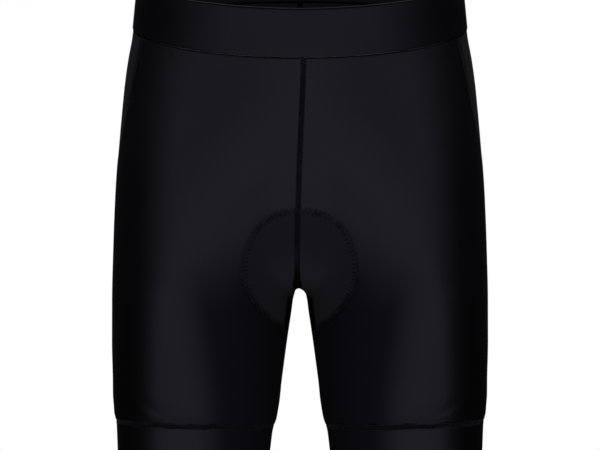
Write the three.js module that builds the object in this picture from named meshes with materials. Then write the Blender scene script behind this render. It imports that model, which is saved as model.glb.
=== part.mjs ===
// Cycling shorts, filled out as when worn: a doubled waistband, four stretch panels, two leg bands and a seat pad.
// Millimetres. +Z is up, the front faces -Y and +X is the wearer's left. The origin is the middle of the waist opening,
// level with the middle of the waistband.
//
// The cloth lies on one smooth form: two leg lobes and a rounded seat, joined softly. Each panel is a grid of points
// on that form between its own seams, given a wall inwards.
import * as THREE from 'three';

// Seams and walls
const SEAM_GAP = 0.3;
const CLOTH_WALL = 1.2;
const WAISTBAND_HEIGHT = 45;
const LEG_BAND_HEIGHT = 55;
const LEG_BAND_WALL = 1.7;

// The waist is cut lower in front: its plane rises this much for each millimetre towards the back
const WAIST_SLOPE = 0.305;
const WAIST_SEAM = -WAISTBAND_HEIGHT / 2;

// The leg seam is square to a leg that leans outwards
const LEG_SEAM = -400.5;
const LEG_SEAM_TILT = 0.033;
const LEG_MIDDLE = 100;

// Half sections of the form at heights z. outer: half width at the side. ridge: how far out the front and back stand
// furthest. gap: how far the inside of the leg is from the middle, below zero where the legs are one. front, back:
// how far the section reaches. mid: where it is widest. round: how full the front is, 2 for an ellipse. seam: where
// the side seam runs.
const SECTION_COLUMNS = ['z', 'outer', 'ridge', 'gap', 'front', 'back', 'mid', 'round', 'seam'];
const SECTIONS = [
  [75, 149.5, 5, -118, -101, 101, 0, 1.8, -30],
  [22, 155.4, 5, -122, -105, 105, 0, 1.8, -32],
  [0, 157.6, 5, -122, -107, 109, 0, 1.8, -33],
  [-22, 159.8, 6, -120, -108.5, 116, 1, 1.8, -34],
  [-31, 160.9, 7, -118, -109, 118.5, 1.5, 1.8, -35],
  [-53, 165.0, 12, -112, -110.2, 125, 3, 1.82, -34],
  [-75, 168.1, 19, -104, -111, 130, 4, 1.88, -32],
  [-100, 170.7, 30, -92, -112, 134, 5.5, 1.98, -29],
  [-130, 173.4, 46, -75, -112.6, 136, 7, 2.1, -21],
  [-168, 176.4, 65, -53, -112, 134, 9, 2.2, 1],
  [-207, 178.6, 83, -29, -109.5, 127, 10, 2.2, 11],
  [-245, 179.9, 97, -6, -105.5, 115, 10, 2.2, 13],
  [-273, 180.6, 106, 5.8, -101, 105, 10, 2.2, 13],
  [-284, 180.7, 109, 7.1, -99.5, 101, 9.8, 2.2, 13],
  [-322, 180.7, 113, 12.6, -94.5, 91.5, 8, 2.2, 12],
  [-353, 179.9, 113, 16.8, -90.5, 85.5, 6, 2.2, 10],
  [-383, 178.6, 110, 20.7, -86.8, 80.5, 4, 2.2, 9],
  [-391, 178.0, 109, 21.8, -85.9, 79.6, 3.5, 2.2, 8],
  [-395, 177.2, 108.5, 22.4, -85.1, 79.0, 3.2, 2.2, 8],
  [-398.5, 176.0, 108, 23.2, -84.1, 78.1, 3, 2.2, 8],
  [-402.5, 175.8, 107.5, 24.8, -83.3, 77.4, 2.8, 2.2, 8],
  [-407, 175.6, 107, 26.0, -83.0, 77.1, 2.6, 2.2, 8],
  [-427, 174.8, 106.5, 28.6, -81.7, 75.6, 1.6, 2.2, 8],
  [-462, 173.4, 105, 33.2, -79.6, 73.0, 0, 2.2, 8],
];
const BACK_ROUNDNESS = 2.2;
const INNER_ROUNDNESS = 1.9;
const SOFTNESS = 0.2;
const LEGS_BLEND = 16;

// The rounded seat between the legs
const SEAT = { half: 60, front: 118, back: 106, rise: 150, drop: 100.4, mid: 10, level: -170, roundness: 2.5, blend: 19 };

// Seat pad: half widths of its outline at distances along its middle line, from its front tip
const PAD_COLUMNS = ['along', 'half'];
const PAD_TIP_HEIGHT = -197.7;
const PAD_OUTLINE = [
  [0, 0],
  [1.2, 11],
  [5, 22.5],
  [14, 36.5],
  [30, 49],
  [48, 55],
  [66, 57],
  [84, 55],
  [104, 50],
  [126, 45.5],
  [148, 46],
  [178, 56],
  [212, 70],
  [246, 79],
  [278, 79],
  [304, 66],
  [318, 46],
  [325, 25],
  [327, 0],
];
const PAD = { clearance: 1.4, edge: 1.6, middle: 6.5, groove: 2.2, grooveHalf: 7, bevel: 14 };

// How finely the cloth is divided
const ROWS_ABOVE_CROTCH = 19;
const ROWS_BELOW_CROTCH = 13;
const PANEL_COLUMNS = 21;
const BAND_STEPS = 26;
const PAD_ROWS = 42;
const PAD_HALF_COLUMNS = 9;

const SIDE_HEIGHT_BY_CROTCH = -284;
const DIP = 15;
const DIP_REACH = 45;
const FAR_OUT = 300;

const CLOTH_COLOUR = 0x1b1b20;
const BAND_COLOUR = 0x1d1d22;
const PAD_COLOUR = 0x26262c;

// Small helpers
const lerp = (a, b, t) => a + (b - a) * t;
const halfGap = SEAM_GAP / 2;

function bisect(f, low, high, steps = 46) {
  const lowIsPositive = f(low) > 0;
  for (let i = 0; i < steps; i += 1) {
    const middle = (low + high) / 2;
    if (f(middle) > 0 === lowIsPositive) low = middle;
    else high = middle;
  }
  return (low + high) / 2;
}

// A smooth curve through one column of a table, which never overshoots its rows
function columnCurve(columns, rows, name) {
  const k = columns.indexOf(name);
  const sorted = [...rows].sort((p, q) => p[0] - q[0]);
  const x = sorted.map((row) => row[0]);
  const y = sorted.map((row) => row[k]);
  const slope = x.slice(1).map((_, i) => (y[i + 1] - y[i]) / (x[i + 1] - x[i]));
  const tangent = x.map((_, i) => {
    if (i === 0) return slope[0];
    if (i === x.length - 1) return slope[i - 1];
    if (slope[i - 1] * slope[i] <= 0) return 0;
    const before = x[i] - x[i - 1];
    const after = x[i + 1] - x[i];
    const heavy = 2 * after + before;
    const light = after + 2 * before;
    return (heavy + light) / (heavy / slope[i - 1] + light / slope[i]);
  });
  return (at) => {
    if (at <= x[0]) return y[0] + tangent[0] * (at - x[0]);
    let i = x.findIndex((value) => at <= value) - 1;
    if (i < 0) i = x.length - 2;
    const width = x[i + 1] - x[i];
    const t = (at - x[i]) / width;
    const s = 1 - t;
    return (
      y[i] * (1 + 2 * t) * s * s + tangent[i] * width * t * s * s +
      y[i + 1] * (1 + 2 * s) * t * t - tangent[i + 1] * width * s * t * t
    );
  };
}

const sectionCurves = Object.fromEntries(
  SECTION_COLUMNS.slice(1).map((name) => [name, columnCurve(SECTION_COLUMNS, SECTIONS, name)]),
);

function sectionAt(z) {
  return Object.fromEntries(Object.entries(sectionCurves).map(([name, curve]) => [name, curve(z)]));
}

// The form. Its value is below zero inside, and about the distance outside.
function smoothMin(a, b, blend) {
  const h = Math.max(blend - Math.abs(a - b), 0) / blend;
  return Math.min(a, b) - (h * h * h * blend) / 6;
}

// A power whose curve stays smooth at zero
function softPower(t, power) {
  const rest = SOFTNESS ** power;
  const at = (square) => (square + SOFTNESS ** 2) ** (power / 2) - rest;
  return at(t * t) / at(1);
}

function lobe(x, y, section) {
  const dx = x - section.ridge;
  const dy = y - section.mid;
  const a = dx > 0 ? section.outer - section.ridge : section.ridge - section.gap;
  const b = dy < 0 ? section.mid - section.front : section.back - section.mid;
  const outerPower = dy < 0 ? section.round : BACK_ROUNDNESS;
  const power = dx > 0 ? outerPower : lerp(outerPower, INNER_ROUNDNESS, section.legShare);
  const share = (softPower(dx / a, power) + softPower(dy / b, power)) ** (1 / power);
  const r = Math.hypot(dx, dy);
  return share > 1e-9 ? r - r / share : -b;
}

function seat(x, y, z) {
  const dy = y - SEAT.mid;
  const dz = z - SEAT.level;
  const b = dy < 0 ? SEAT.front : SEAT.back;
  const c = dz < 0 ? SEAT.drop : SEAT.rise;
  const p = SEAT.roundness;
  const share = (Math.abs(x / SEAT.half) ** p + Math.abs(dy / b) ** p + Math.abs(dz / c) ** p) ** (1 / p);
  const r = Math.hypot(x, dy, dz);
  return share > 1e-9 ? r - r / share : -SEAT.half;
}

function formInSection(x, y, z, section) {
  const legs = smoothMin(lobe(x, y, section), lobe(-x, y, section), LEGS_BLEND);
  return smoothMin(legs, seat(x, y, z), SEAT.blend);
}

function fullSection(z) {
  const section = sectionAt(z);
  section.legShare = THREE.MathUtils.smoothstep(-z, 190, 290);
  return section;
}

function form(p) {
  return formInSection(p.x, p.y, p.z, fullSection(p.z));
}

function slopeOf(p) {
  const h = 0.02;
  const slope = new THREE.Vector3();
  for (const axis of ['x', 'y', 'z']) {
    const more = p.clone();
    const less = p.clone();
    more[axis] += h;
    less[axis] -= h;
    slope[axis] = (form(more) - form(less)) / (2 * h);
  }
  return slope;
}

const outwards = (p) => slopeOf(p).normalize();

function ontoForm(p) {
  const moved = p.clone();
  for (let i = 0; i < 5; i += 1) {
    const slope = slopeOf(moved);
    moved.addScaledVector(slope, -form(moved) / slope.lengthSq());
  }
  return moved;
}

// The point of the left half's form at an angle round the ridge, 0 outwards and a half turn inwards, at a height
function roundPoint(angle, z) {
  const section = fullSection(z);
  const along = Math.cos(angle);
  const across = Math.sin(angle);
  const reach = along < -1e-9 ? Math.min(section.ridge / -along, FAR_OUT) : FAR_OUT;
  const value = (r) => formInSection(section.ridge + r * along, section.mid + r * across, z, section);
  const r = value(reach) <= 0 ? reach : bisect(value, 0.01, reach);
  return new THREE.Vector3(section.ridge + r * along, section.mid + r * across, z);
}

function angleOf(p) {
  const section = fullSection(p.z);
  return Math.atan2(p.y - section.mid, p.x - section.ridge);
}

// Where the form crosses the plane x, straight out from the seat's middle: turn 0 is level forwards, a quarter is down
function middlePoint(turn, x = 0) {
  const along = new THREE.Vector3(0, -Math.cos(turn), -Math.sin(turn));
  const from = new THREE.Vector3(x, SEAT.mid, SEAT.level);
  const r = bisect((distance) => form(from.clone().addScaledVector(along, distance)), 1, FAR_OUT);
  return from.addScaledVector(along, r);
}

function insidePoint(z, side) {
  const section = fullSection(z);
  const y = section.mid + side * halfGap;
  const x = bisect((value) => formInSection(value, y, z, section), 0, section.ridge);
  return new THREE.Vector3(x, y, z);
}

function sidePoint(z, side) {
  const section = fullSection(z);
  const y = section.seam + side * halfGap;
  const x = bisect((value) => formInSection(value, y, z, section), section.ridge, FAR_OUT);
  return new THREE.Vector3(x, y, z);
}

const waistLevel = (p) => p.z - WAIST_SLOPE * p.y;
const legLevel = (p) => p.z - LEG_SEAM_TILT * (p.x - LEG_MIDDLE);

// A path is a function of a parameter; at() gives its point at a length
function pathBy(pointAt, from, to, steps) {
  const parameters = Array.from({ length: steps + 1 }, (_, i) => lerp(from, to, i / steps));
  const points = parameters.map(pointAt);
  const lengths = [0];
  for (let i = 1; i < points.length; i += 1) {
    lengths.push(lengths[i - 1] + points[i].distanceTo(points[i - 1]));
  }
  const total = lengths[steps];
  const at = (length) => {
    const i = Math.min(Math.max(lengths.findIndex((value) => value >= length), 1), steps);
    const share = (length - lengths[i - 1]) / (lengths[i] - lengths[i - 1]);
    return pointAt(lerp(parameters[i - 1], parameters[i], share));
  };
  return { at, total };
}

// Side -1 is the front and +1 the back. The middle seam runs from the waist to the crotch, and the inside leg seam on
// to the leg band.
function innerEdge(side) {
  const level = WAIST_SEAM - halfGap;
  const quarter = Math.PI / 2;
  const [high, low] = side < 0 ? [-1.2, quarter] : [Math.PI + 1.2, quarter];
  const start = bisect((turn) => waistLevel(middlePoint(turn, halfGap)) - level, high, low - side * 0.3);
  const end = bisect((turn) => (middlePoint(turn, halfGap).y - SEAT.mid) * side - halfGap, low - side * 0.3 * -1, low);
  const middle = pathBy((turn) => middlePoint(turn, halfGap), start, end, 160);
  const crotch = middlePoint(end, halfGap);
  const bottom = bisect((z) => legLevel(insidePoint(z, side)) - LEG_SEAM - halfGap, crotch.z - 60, LEG_SEAM - 20);
  const inside = pathBy((share) => insidePoint(lerp(crotch.z, bottom, share * share), side), 0, 1, 120);
  return { middle, inside, crotch };
}

// Heights of a row's two ends. Rows are level with the waist at the top and with the leg seam at the bottom.
function rowOf(j, edge, side) {
  const above = j <= ROWS_ABOVE_CROTCH;
  const share = above ? j / ROWS_ABOVE_CROTCH : (j - ROWS_ABOVE_CROTCH) / ROWS_BELOW_CROTCH;
  const waistShare = above ? (1 - share) ** 2 : 0;
  const legShare = above ? 0 : share ** 2;
  const tiltOf = (p) => WAIST_SLOPE * waistShare * p.y + LEG_SEAM_TILT * legShare * (p.x - LEG_MIDDLE);
  let end;
  let fromCrotch;
  if (above) {
    const length = edge.middle.total * (1 - (1 - share) ** 1.35);
    end = edge.middle.at(length);
    fromCrotch = edge.middle.total - length;
  } else {
    const length = edge.inside.total * share * share * (3 - 2 * share);
    end = edge.inside.at(length);
    fromCrotch = length;
  }
  const sideLevel = above
    ? lerp(WAIST_SEAM - halfGap, SIDE_HEIGHT_BY_CROTCH, share)
    : lerp(SIDE_HEIGHT_BY_CROTCH, LEG_SEAM + halfGap, 1 - (1 - share) ** 1.5);
  let start = sidePoint(sideLevel, side);
  for (let i = 0; i < 12; i += 1) {
    start = sidePoint(sideLevel + tiltOf(start), side);
  }
  const endAngle = side * Math.abs(angleOf(end));
  const dip = DIP * Math.exp(-((fromCrotch / DIP_REACH) ** 2));
  return { start, end, startAngle: angleOf(start), endAngle, sideLevel, endLevel: end.z - tiltOf(end), tiltOf, dip };
}

function rowPoint(row, u) {
  if (u === 0) return row.start.clone();
  if (u === 1) return row.end.clone();
  const turned = 1 - (1 - u) ** 1.5;
  const angle = lerp(row.startAngle, row.endAngle, turned);
  const sag = 12.2 * turned ** 4 * (1 - turned);
  const level = lerp(row.sideLevel, row.endLevel, turned) - row.dip * sag;
  let p = roundPoint(angle, level);
  for (let i = 0; i < 10; i += 1) {
    p = roundPoint(angle, level + row.tiltOf(p));
  }
  return p;
}

// A closed wall between two grids of points that match, outer first; a ring joins its last column to its first.
// Each four-sided face is split along its shorter diagonal.
function wallBetween(outer, inner, isRing = false) {
  const rows = outer.length;
  const columns = outer[0].length;
  const points = [...outer.flat(), ...inner.flat()];
  const index = [];
  const quad = (a, b, c, d, alongFirst = true) => {
    if (alongFirst) index.push(a, b, c, a, c, d);
    else index.push(b, c, d, b, d, a);
  };
  const out = (j, i) => j * columns + (i % columns);
  const into = (j, i) => rows * columns + out(j, i);
  const spans = isRing ? columns : columns - 1;
  for (let i = 0; i < spans; i += 1) {
    for (let j = 0; j < rows - 1; j += 1) {
      const corners = [out(j, i), out(j + 1, i), out(j + 1, i + 1), out(j, i + 1)];
      const [p, q, r, s] = corners.map((corner) => points[corner]);
      const alongFirst = p.distanceTo(r) < q.distanceTo(s);
      quad(...corners, alongFirst);
      quad(into(j, i), into(j, i + 1), into(j + 1, i + 1), into(j + 1, i), alongFirst);
    }
    quad(out(0, i), out(0, i + 1), into(0, i + 1), into(0, i));
    quad(out(rows - 1, i), into(rows - 1, i), into(rows - 1, i + 1), out(rows - 1, i + 1));
  }
  for (let j = 0; !isRing && j < rows - 1; j += 1) {
    quad(out(j, 0), into(j, 0), into(j + 1, 0), out(j + 1, 0));
    quad(out(j, spans), out(j + 1, spans), into(j + 1, spans), into(j, spans));
  }
  const geometry = new THREE.BufferGeometry();
  const positions = points.flatMap((point) => [point.x, point.y, point.z]);
  geometry.setAttribute('position', new THREE.Float32BufferAttribute(positions, 3));
  geometry.setIndex(index);
  return geometry;
}

function turnedInsideOut(geometry) {
  const index = geometry.index.array;
  for (let i = 0; i < index.length; i += 3) {
    [index[i + 1], index[i + 2]] = [index[i + 2], index[i + 1]];
  }
  return geometry;
}

function mirrored(geometry) {
  return turnedInsideOut(geometry.clone().scale(-1, 1, 1));
}

const offsetFrom = (p, distance) => p.clone().addScaledVector(outwards(p), distance);

function panel(side) {
  const edge = innerEdge(side);
  const outer = [];
  for (let j = 0; j <= ROWS_ABOVE_CROTCH + ROWS_BELOW_CROTCH; j += 1) {
    const row = rowOf(j, edge, side);
    outer.push(Array.from({ length: PANEL_COLUMNS + 1 }, (_, i) => rowPoint(row, i / PANEL_COLUMNS)));
  }
  const inner = outer.map((row) => row.map((p) => offsetFrom(p, -CLOTH_WALL)));
  const geometry = wallBetween(outer, inner);
  return side < 0 ? turnedInsideOut(geometry) : geometry;
}

// Profiles of the two bands: at heights from the top, how far the outside and the inside stand from the form
const WAISTBAND_PROFILE = [
  { down: 0, outside: -0.1, inside: -0.7 },
  { down: 0.7, outside: 0.55, inside: -1.35 },
  { down: 3, outside: 0.8, inside: -1.6 },
  { down: 16, outside: 0.95, inside: -1.6 },
  { down: 42.5, outside: 0.75, inside: -1.6 },
  { down: WAISTBAND_HEIGHT - halfGap, outside: 0.3, inside: -1.4 },
];
const LEG_BAND_PROFILE = [
  { down: halfGap, outside: 0, inside: -LEG_BAND_WALL },
  { down: 24, outside: 0.1, inside: -LEG_BAND_WALL },
  { down: LEG_BAND_HEIGHT - 1.2, outside: 0, inside: -LEG_BAND_WALL },
  { down: LEG_BAND_HEIGHT, outside: -0.4, inside: -LEG_BAND_WALL + 0.4 },
];

// A point at an angle whose level is the one given, where levelOf takes off the plane's tilt
function levelPoint(angle, level, levelOf) {
  let p = roundPoint(angle, level);
  for (let i = 0; i < 14; i += 1) {
    p = roundPoint(angle, p.z + level - levelOf(p));
  }
  return p;
}

// Moves a point out from the form but keeps it in its own tilted plane
function outInPlane(p, distance, planeNormal) {
  const away = outwards(p);
  away.addScaledVector(planeNormal, -away.dot(planeNormal)).normalize();
  return p.clone().addScaledVector(away, distance);
}

function waistband() {
  const planeNormal = new THREE.Vector3(0, -WAIST_SLOPE, 1).normalize();
  const ringAt = (down) => {
    const level = WAISTBAND_HEIGHT / 2 - down;
    const turnTo = (from, to) => bisect((turn) => waistLevel(middlePoint(turn)) - level, from, to);
    const front = middlePoint(turnTo(-1.35, 0.3));
    const back = middlePoint(turnTo(Math.PI + 1.35, Math.PI - 0.3));
    const angles = [angleOf(front), angleOf(back)];
    const half = [front];
    for (let i = 1; i < BAND_STEPS; i += 1) {
      half.push(levelPoint(lerp(angles[0], angles[1], i / BAND_STEPS), level, waistLevel));
    }
    const other = half.slice(1).reverse().map((p) => new THREE.Vector3(-p.x, p.y, p.z));
    return [...half, back, ...other];
  };
  const rings = WAISTBAND_PROFILE.map((row) => ringAt(row.down));
  const moved = (name) => rings.map((ring, j) => ring.map((p) => outInPlane(p, WAISTBAND_PROFILE[j][name], planeNormal)));
  return wallBetween(moved('outside'), moved('inside'), true);
}

function legBand() {
  const planeNormal = new THREE.Vector3(-LEG_SEAM_TILT, 0, 1).normalize();
  const ringAt = (down) => {
    const level = LEG_SEAM - down;
    const angleAt = (i) => -Math.PI + (2 * Math.PI * i) / (2 * BAND_STEPS);
    return Array.from({ length: 2 * BAND_STEPS }, (_, i) => levelPoint(angleAt(i), level, legLevel));
  };
  const rings = LEG_BAND_PROFILE.map((row) => ringAt(row.down));
  const moved = (name) => rings.map((ring, j) => ring.map((p) => outInPlane(p, LEG_BAND_PROFILE[j][name], planeNormal)));
  return wallBetween(moved('outside'), moved('inside'), true);
}

// Walks over the form from a point, keeping straight, and gives the point reached
function walk(from, direction, distance) {
  const steps = Math.max(1, Math.ceil(distance / 1.5));
  let p = from.clone();
  const heading = direction.clone();
  for (let i = 0; i < steps; i += 1) {
    const away = outwards(p);
    heading.addScaledVector(away, -heading.dot(away)).normalize();
    p = ontoForm(p.clone().addScaledVector(heading, distance / steps));
  }
  return p;
}

function padThickness(along, across, half, length) {
  const fromEdge = Math.min(half - Math.abs(across), along, length - along);
  const swell = THREE.MathUtils.smoothstep(fromEdge, 0, PAD.bevel);
  const groove = PAD.groove * Math.exp(-((across / PAD.grooveHalf) ** 2)) * swell;
  return PAD.edge + (PAD.middle - PAD.edge) * swell - groove;
}

function seatPad() {
  const tipTurn = bisect((turn) => middlePoint(turn).z - PAD_TIP_HEIGHT, -0.5, 1.2);
  const middle = pathBy((turn) => middlePoint(turn), tipTurn, Math.PI + 0.9, 260);
  const halfAt = columnCurve(PAD_COLUMNS, PAD_OUTLINE, 'half');
  const length = PAD_OUTLINE[PAD_OUTLINE.length - 1][0];
  const outer = [];
  const inner = [];
  for (let j = 0; j <= PAD_ROWS; j += 1) {
    const end = 0.004;
    const along = length * lerp(end, 1 - end, 0.5 - 0.5 * Math.cos((Math.PI * j) / PAD_ROWS));
    const half = halfAt(along);
    const start = middle.at(along);
    const columns = [];
    for (let i = -PAD_HALF_COLUMNS; i <= PAD_HALF_COLUMNS; i += 1) {
      const share = i / PAD_HALF_COLUMNS;
      const across = half * lerp(share, Math.sin((Math.PI / 2) * share), 0.4);
      const p = walk(start, new THREE.Vector3(Math.sign(across), 0, 0), Math.abs(across));
      columns.push({ p: i === 0 ? start : p, thickness: padThickness(along, across, half, length) });
    }
    const out = CLOTH_WALL + PAD.clearance;
    outer.push(columns.map(({ p }) => offsetFrom(p, -out)));
    inner.push(columns.map(({ p, thickness }) => offsetFrom(p, -out - thickness)));
  }
  return wallBetween(outer, inner);
}

function piece(name, geometry, color, roughness) {
  geometry.computeVertexNormals();
  const mesh = new THREE.Mesh(geometry, new THREE.MeshStandardMaterial({ color, roughness, metalness: 0 }));
  mesh.name = name;
  return mesh;
}

const front = panel(-1);
const back = panel(1);
const band = legBand();

const shorts = new THREE.Group();
shorts.add(
  piece('waistband', waistband(), BAND_COLOUR, 0.6),
  piece('front_left', front, CLOTH_COLOUR, 0.5),
  piece('front_right', mirrored(front), CLOTH_COLOUR, 0.5),
  piece('back_left', back, CLOTH_COLOUR, 0.5),
  piece('back_right', mirrored(back), CLOTH_COLOUR, 0.5),
  piece('leg_band_left', band, BAND_COLOUR, 0.45),
  piece('leg_band_right', mirrored(band), BAND_COLOUR, 0.45),
  piece('seat_pad', seatPad(), PAD_COLOUR, 0.85),
);

export default shorts;
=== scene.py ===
"""Cycling shorts, filled out as when worn, laid out as an add-on with one operator for each piece.

Lengths in the cutting tables are millimetres, as on a maker's pattern; Blender's own values are metres.
+Z is up, the front faces -Y, +X is the wearer's left, and the origin is the middle of the waist opening.
"""
import math

import bmesh
import bpy
import numpy as np
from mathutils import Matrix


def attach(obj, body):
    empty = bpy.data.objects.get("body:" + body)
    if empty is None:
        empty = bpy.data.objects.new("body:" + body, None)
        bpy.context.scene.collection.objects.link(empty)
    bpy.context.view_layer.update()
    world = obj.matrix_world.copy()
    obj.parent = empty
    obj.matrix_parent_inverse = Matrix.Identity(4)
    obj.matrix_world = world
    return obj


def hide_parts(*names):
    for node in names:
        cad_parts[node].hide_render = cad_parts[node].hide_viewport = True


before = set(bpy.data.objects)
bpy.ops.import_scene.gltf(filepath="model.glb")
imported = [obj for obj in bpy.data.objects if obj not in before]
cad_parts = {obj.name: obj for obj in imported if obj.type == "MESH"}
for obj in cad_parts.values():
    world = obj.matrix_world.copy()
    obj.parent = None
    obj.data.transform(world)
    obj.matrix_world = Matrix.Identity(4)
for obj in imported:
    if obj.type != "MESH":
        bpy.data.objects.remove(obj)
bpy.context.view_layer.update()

bl_info = {
    "name": "Cycling shorts",
    "version": (1, 0, 0),
    "blender": (4, 5, 0),
    "location": "3D View > Sidebar > Shorts",
    "description": "Builds padded cycling shorts, filled out as when worn, with their studio",
    "category": "Object",
}

MM = 0.001

# The waist plane rises towards the back; the leg seams are square to legs that lean outwards
WAIST_SLOPE = 0.305
LEG_SEAM = -400.5
LEG_SEAM_TILT = 0.033
LEG_MIDDLE = 100.0

# Half sections of the form at heights z. outer: half width at the side. ridge: how far out the front and
# back stand furthest. gap: how far the inside of the leg is from the middle, below zero where the legs are
# one. front, back: how far the section reaches. mid: where it is widest. round: how full the front is, 2
# for an ellipse. seam: where the side seam runs.
SECTION_COLUMNS = ("z", "outer", "ridge", "gap", "front", "back", "mid", "round", "seam")
SECTIONS = (
    (75, 149.5, 5, -118, -101, 101, 0, 1.8, -30),
    (22, 155.4, 5, -122, -105, 105, 0, 1.8, -32),
    (0, 157.6, 5, -122, -107, 109, 0, 1.8, -33),
    (-22, 159.8, 6, -120, -108.5, 116, 1, 1.8, -34),
    (-31, 160.9, 7, -118, -109, 118.5, 1.5, 1.8, -35),
    (-53, 165.0, 12, -112, -110.2, 125, 3, 1.82, -34),
    (-75, 168.1, 19, -104, -111, 130, 4, 1.88, -32),
    (-100, 170.7, 30, -92, -112, 134, 5.5, 1.98, -29),
    (-130, 173.4, 46, -75, -112.6, 136, 7, 2.1, -21),
    (-168, 176.4, 65, -53, -112, 134, 9, 2.2, 1),
    (-207, 178.6, 83, -29, -109.5, 127, 10, 2.2, 11),
    (-245, 179.9, 97, -6, -105.5, 115, 10, 2.2, 13),
    (-273, 180.6, 106, 5.8, -101, 105, 10, 2.2, 13),
    (-284, 180.7, 109, 7.1, -99.5, 101, 9.8, 2.2, 13),
    (-322, 180.7, 113, 12.6, -94.5, 91.5, 8, 2.2, 12),
    (-353, 179.9, 113, 16.8, -90.5, 85.5, 6, 2.2, 10),
    (-383, 178.6, 110, 20.7, -86.8, 80.5, 4, 2.2, 9),
    (-391, 178.0, 109, 21.8, -85.9, 79.6, 3.5, 2.2, 8),
    (-395, 177.2, 108.5, 22.4, -85.1, 79.0, 3.2, 2.2, 8),
    (-398.5, 176.0, 108, 23.2, -84.1, 78.1, 3, 2.2, 8),
    (-402.5, 175.8, 107.5, 24.8, -83.3, 77.4, 2.8, 2.2, 8),
    (-407, 175.6, 107, 26.0, -83.0, 77.1, 2.6, 2.2, 8),
    (-427, 174.8, 106.5, 28.6, -81.7, 75.6, 1.6, 2.2, 8),
    (-462, 173.4, 105, 33.2, -79.6, 73.0, 0, 2.2, 8),
)
BACK_ROUNDNESS = 2.2
INNER_ROUNDNESS = 1.9
SOFTNESS = 0.2
LEGS_BLEND = 16.0
LEGS_PART = (190.0, 290.0)

# The rounded seat between the legs
SEAT_HALF = 60.0
SEAT_FRONT = 118.0
SEAT_BACK = 106.0
SEAT_RISE = 150.0
SEAT_DROP = 100.4
SEAT_MID = 10.0
SEAT_LEVEL = -170.0
SEAT_ROUNDNESS = 2.5
SEAT_BLEND = 19.0

# Seat pad: half widths of its outline at lengths along its middle line, from its front tip
PAD_COLUMNS = ("along", "half")
PAD_TIP_HEIGHT = -197.7
OUTLINE_POINTS = 420
PAD_OUTLINE = (
    (0, 0),
    (1.2, 11),
    (5, 22.5),
    (14, 36.5),
    (30, 49),
    (48, 55),
    (66, 57),
    (84, 55),
    (104, 50),
    (126, 45.5),
    (148, 46),
    (178, 56),
    (212, 70),
    (246, 79),
    (278, 79),
    (304, 66),
    (318, 46),
    (325, 25),
    (327, 0),
)

# How places on the form are found: lengths in millimetres, turns in radians
FAR_OUT = 300.0
NEAR_RIDGE = 0.01
TINY = 1e-9
SLOPE_REACH = 0.02
HALVINGS = 34
TILT_ROUNDS = 7
POINTS_AT_ONCE = 3000
WAIST_TURN = 1.2
BAND_TURN = 1.35
CROTCH_SPREAD = 0.3
BELOW_CROTCH = 60.0
BELOW_HEM = 20.0
TIP_FROM = -0.5
TIP_TO = 1.2
PAD_END_TURN = math.pi + 0.9
ASIDE = np.array([1.0, 0.0, 0.0])

# How uneven sewing changes: how much, and over how many stitches
SPACING_CHANGE = 1.3
SPACING_WAVES = 3.7
HEIGHT_CHANGE = 0.38
HEIGHT_WAVES = 5.3

# How a panel's rows and columns are spread: powers, and how much closer they are at both ends
CROTCH_SIDE_LEVEL = -284.0
ROWS_TO_CROTCH = 1.35
ROWS_TO_HEM = 1.5
ENDS_OF_ROWS = 0.7
ENDS_OF_COLUMNS = 0.6
DIP_DEPTH = 15.0
DIP_REACH = 45.0
DIP_PEAK = 12.2


def smooth_step(value, low, high):
    t = np.clip((value - low) / (high - low), 0.0, 1.0)
    return t * t * (3 - 2 * t)


def blend(a, b, t):
    return a + (b - a) * t


def near(distance, reach):
    """1 on a line and fading to 0 with the distance from it."""
    return np.exp(-((distance / reach) ** 2))


def ridge(distance, row):
    """A ridge beside a line, or a dip if its height is below zero. row: height, reach and distance."""
    height, reach, away = row
    return height * near(distance - away, reach)


def lengths_along(p, axis=0):
    """The length from the first point to each point, from row to row or, on axis 1, along the rows."""
    steps = np.linalg.norm(np.diff(p, axis=axis), axis=-1)
    start = np.zeros_like(np.take(steps, [0], axis))
    return np.concatenate([start, np.cumsum(steps, axis=axis)], axis=axis)


class TableCurve:
    """A smooth curve through one column of a table, which never overshoots its rows."""

    def __init__(self, columns, rows, name):
        table = np.array(sorted(rows), float)
        self.x = table[:, 0]
        self.y = table[:, columns.index(name)]
        step = np.diff(self.x)
        slope = np.diff(self.y) / step
        self.tangent = np.zeros_like(self.x)
        self.tangent[0], self.tangent[-1] = slope[0], slope[-1]
        for i in range(1, len(self.x) - 1):
            if slope[i - 1] * slope[i] > 0:
                heavy = 2 * step[i] + step[i - 1]
                light = step[i] + 2 * step[i - 1]
                self.tangent[i] = (heavy + light) / (heavy / slope[i - 1] + light / slope[i])

    def __call__(self, at):
        at = np.asarray(at, float)
        i = np.clip(np.searchsorted(self.x, at, side="left") - 1, 0, len(self.x) - 2)
        width = self.x[i + 1] - self.x[i]
        t = (at - self.x[i]) / width
        s = 1 - t
        inside = (
            self.y[i] * (1 + 2 * t) * s * s
            + self.tangent[i] * width * t * s * s
            + self.y[i + 1] * (1 + 2 * s) * t * t
            - self.tangent[i + 1] * width * s * t * t
        )
        below = self.y[0] + self.tangent[0] * (at - self.x[0])
        return np.where(at <= self.x[0], below, inside)


CURVES = {name: TableCurve(SECTION_COLUMNS, SECTIONS, name) for name in SECTION_COLUMNS[1:]}
PAD_HALF = TableCurve(PAD_COLUMNS, PAD_OUTLINE, "half")
PAD_LENGTH = PAD_OUTLINE[-1][0]


class Section:
    """The form's half section at each of the heights given."""

    def __init__(self, z):
        for name, curve in CURVES.items():
            setattr(self, name, curve(z))
        self.leg_share = smooth_step(-np.asarray(z, float), *LEGS_PART)


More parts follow.
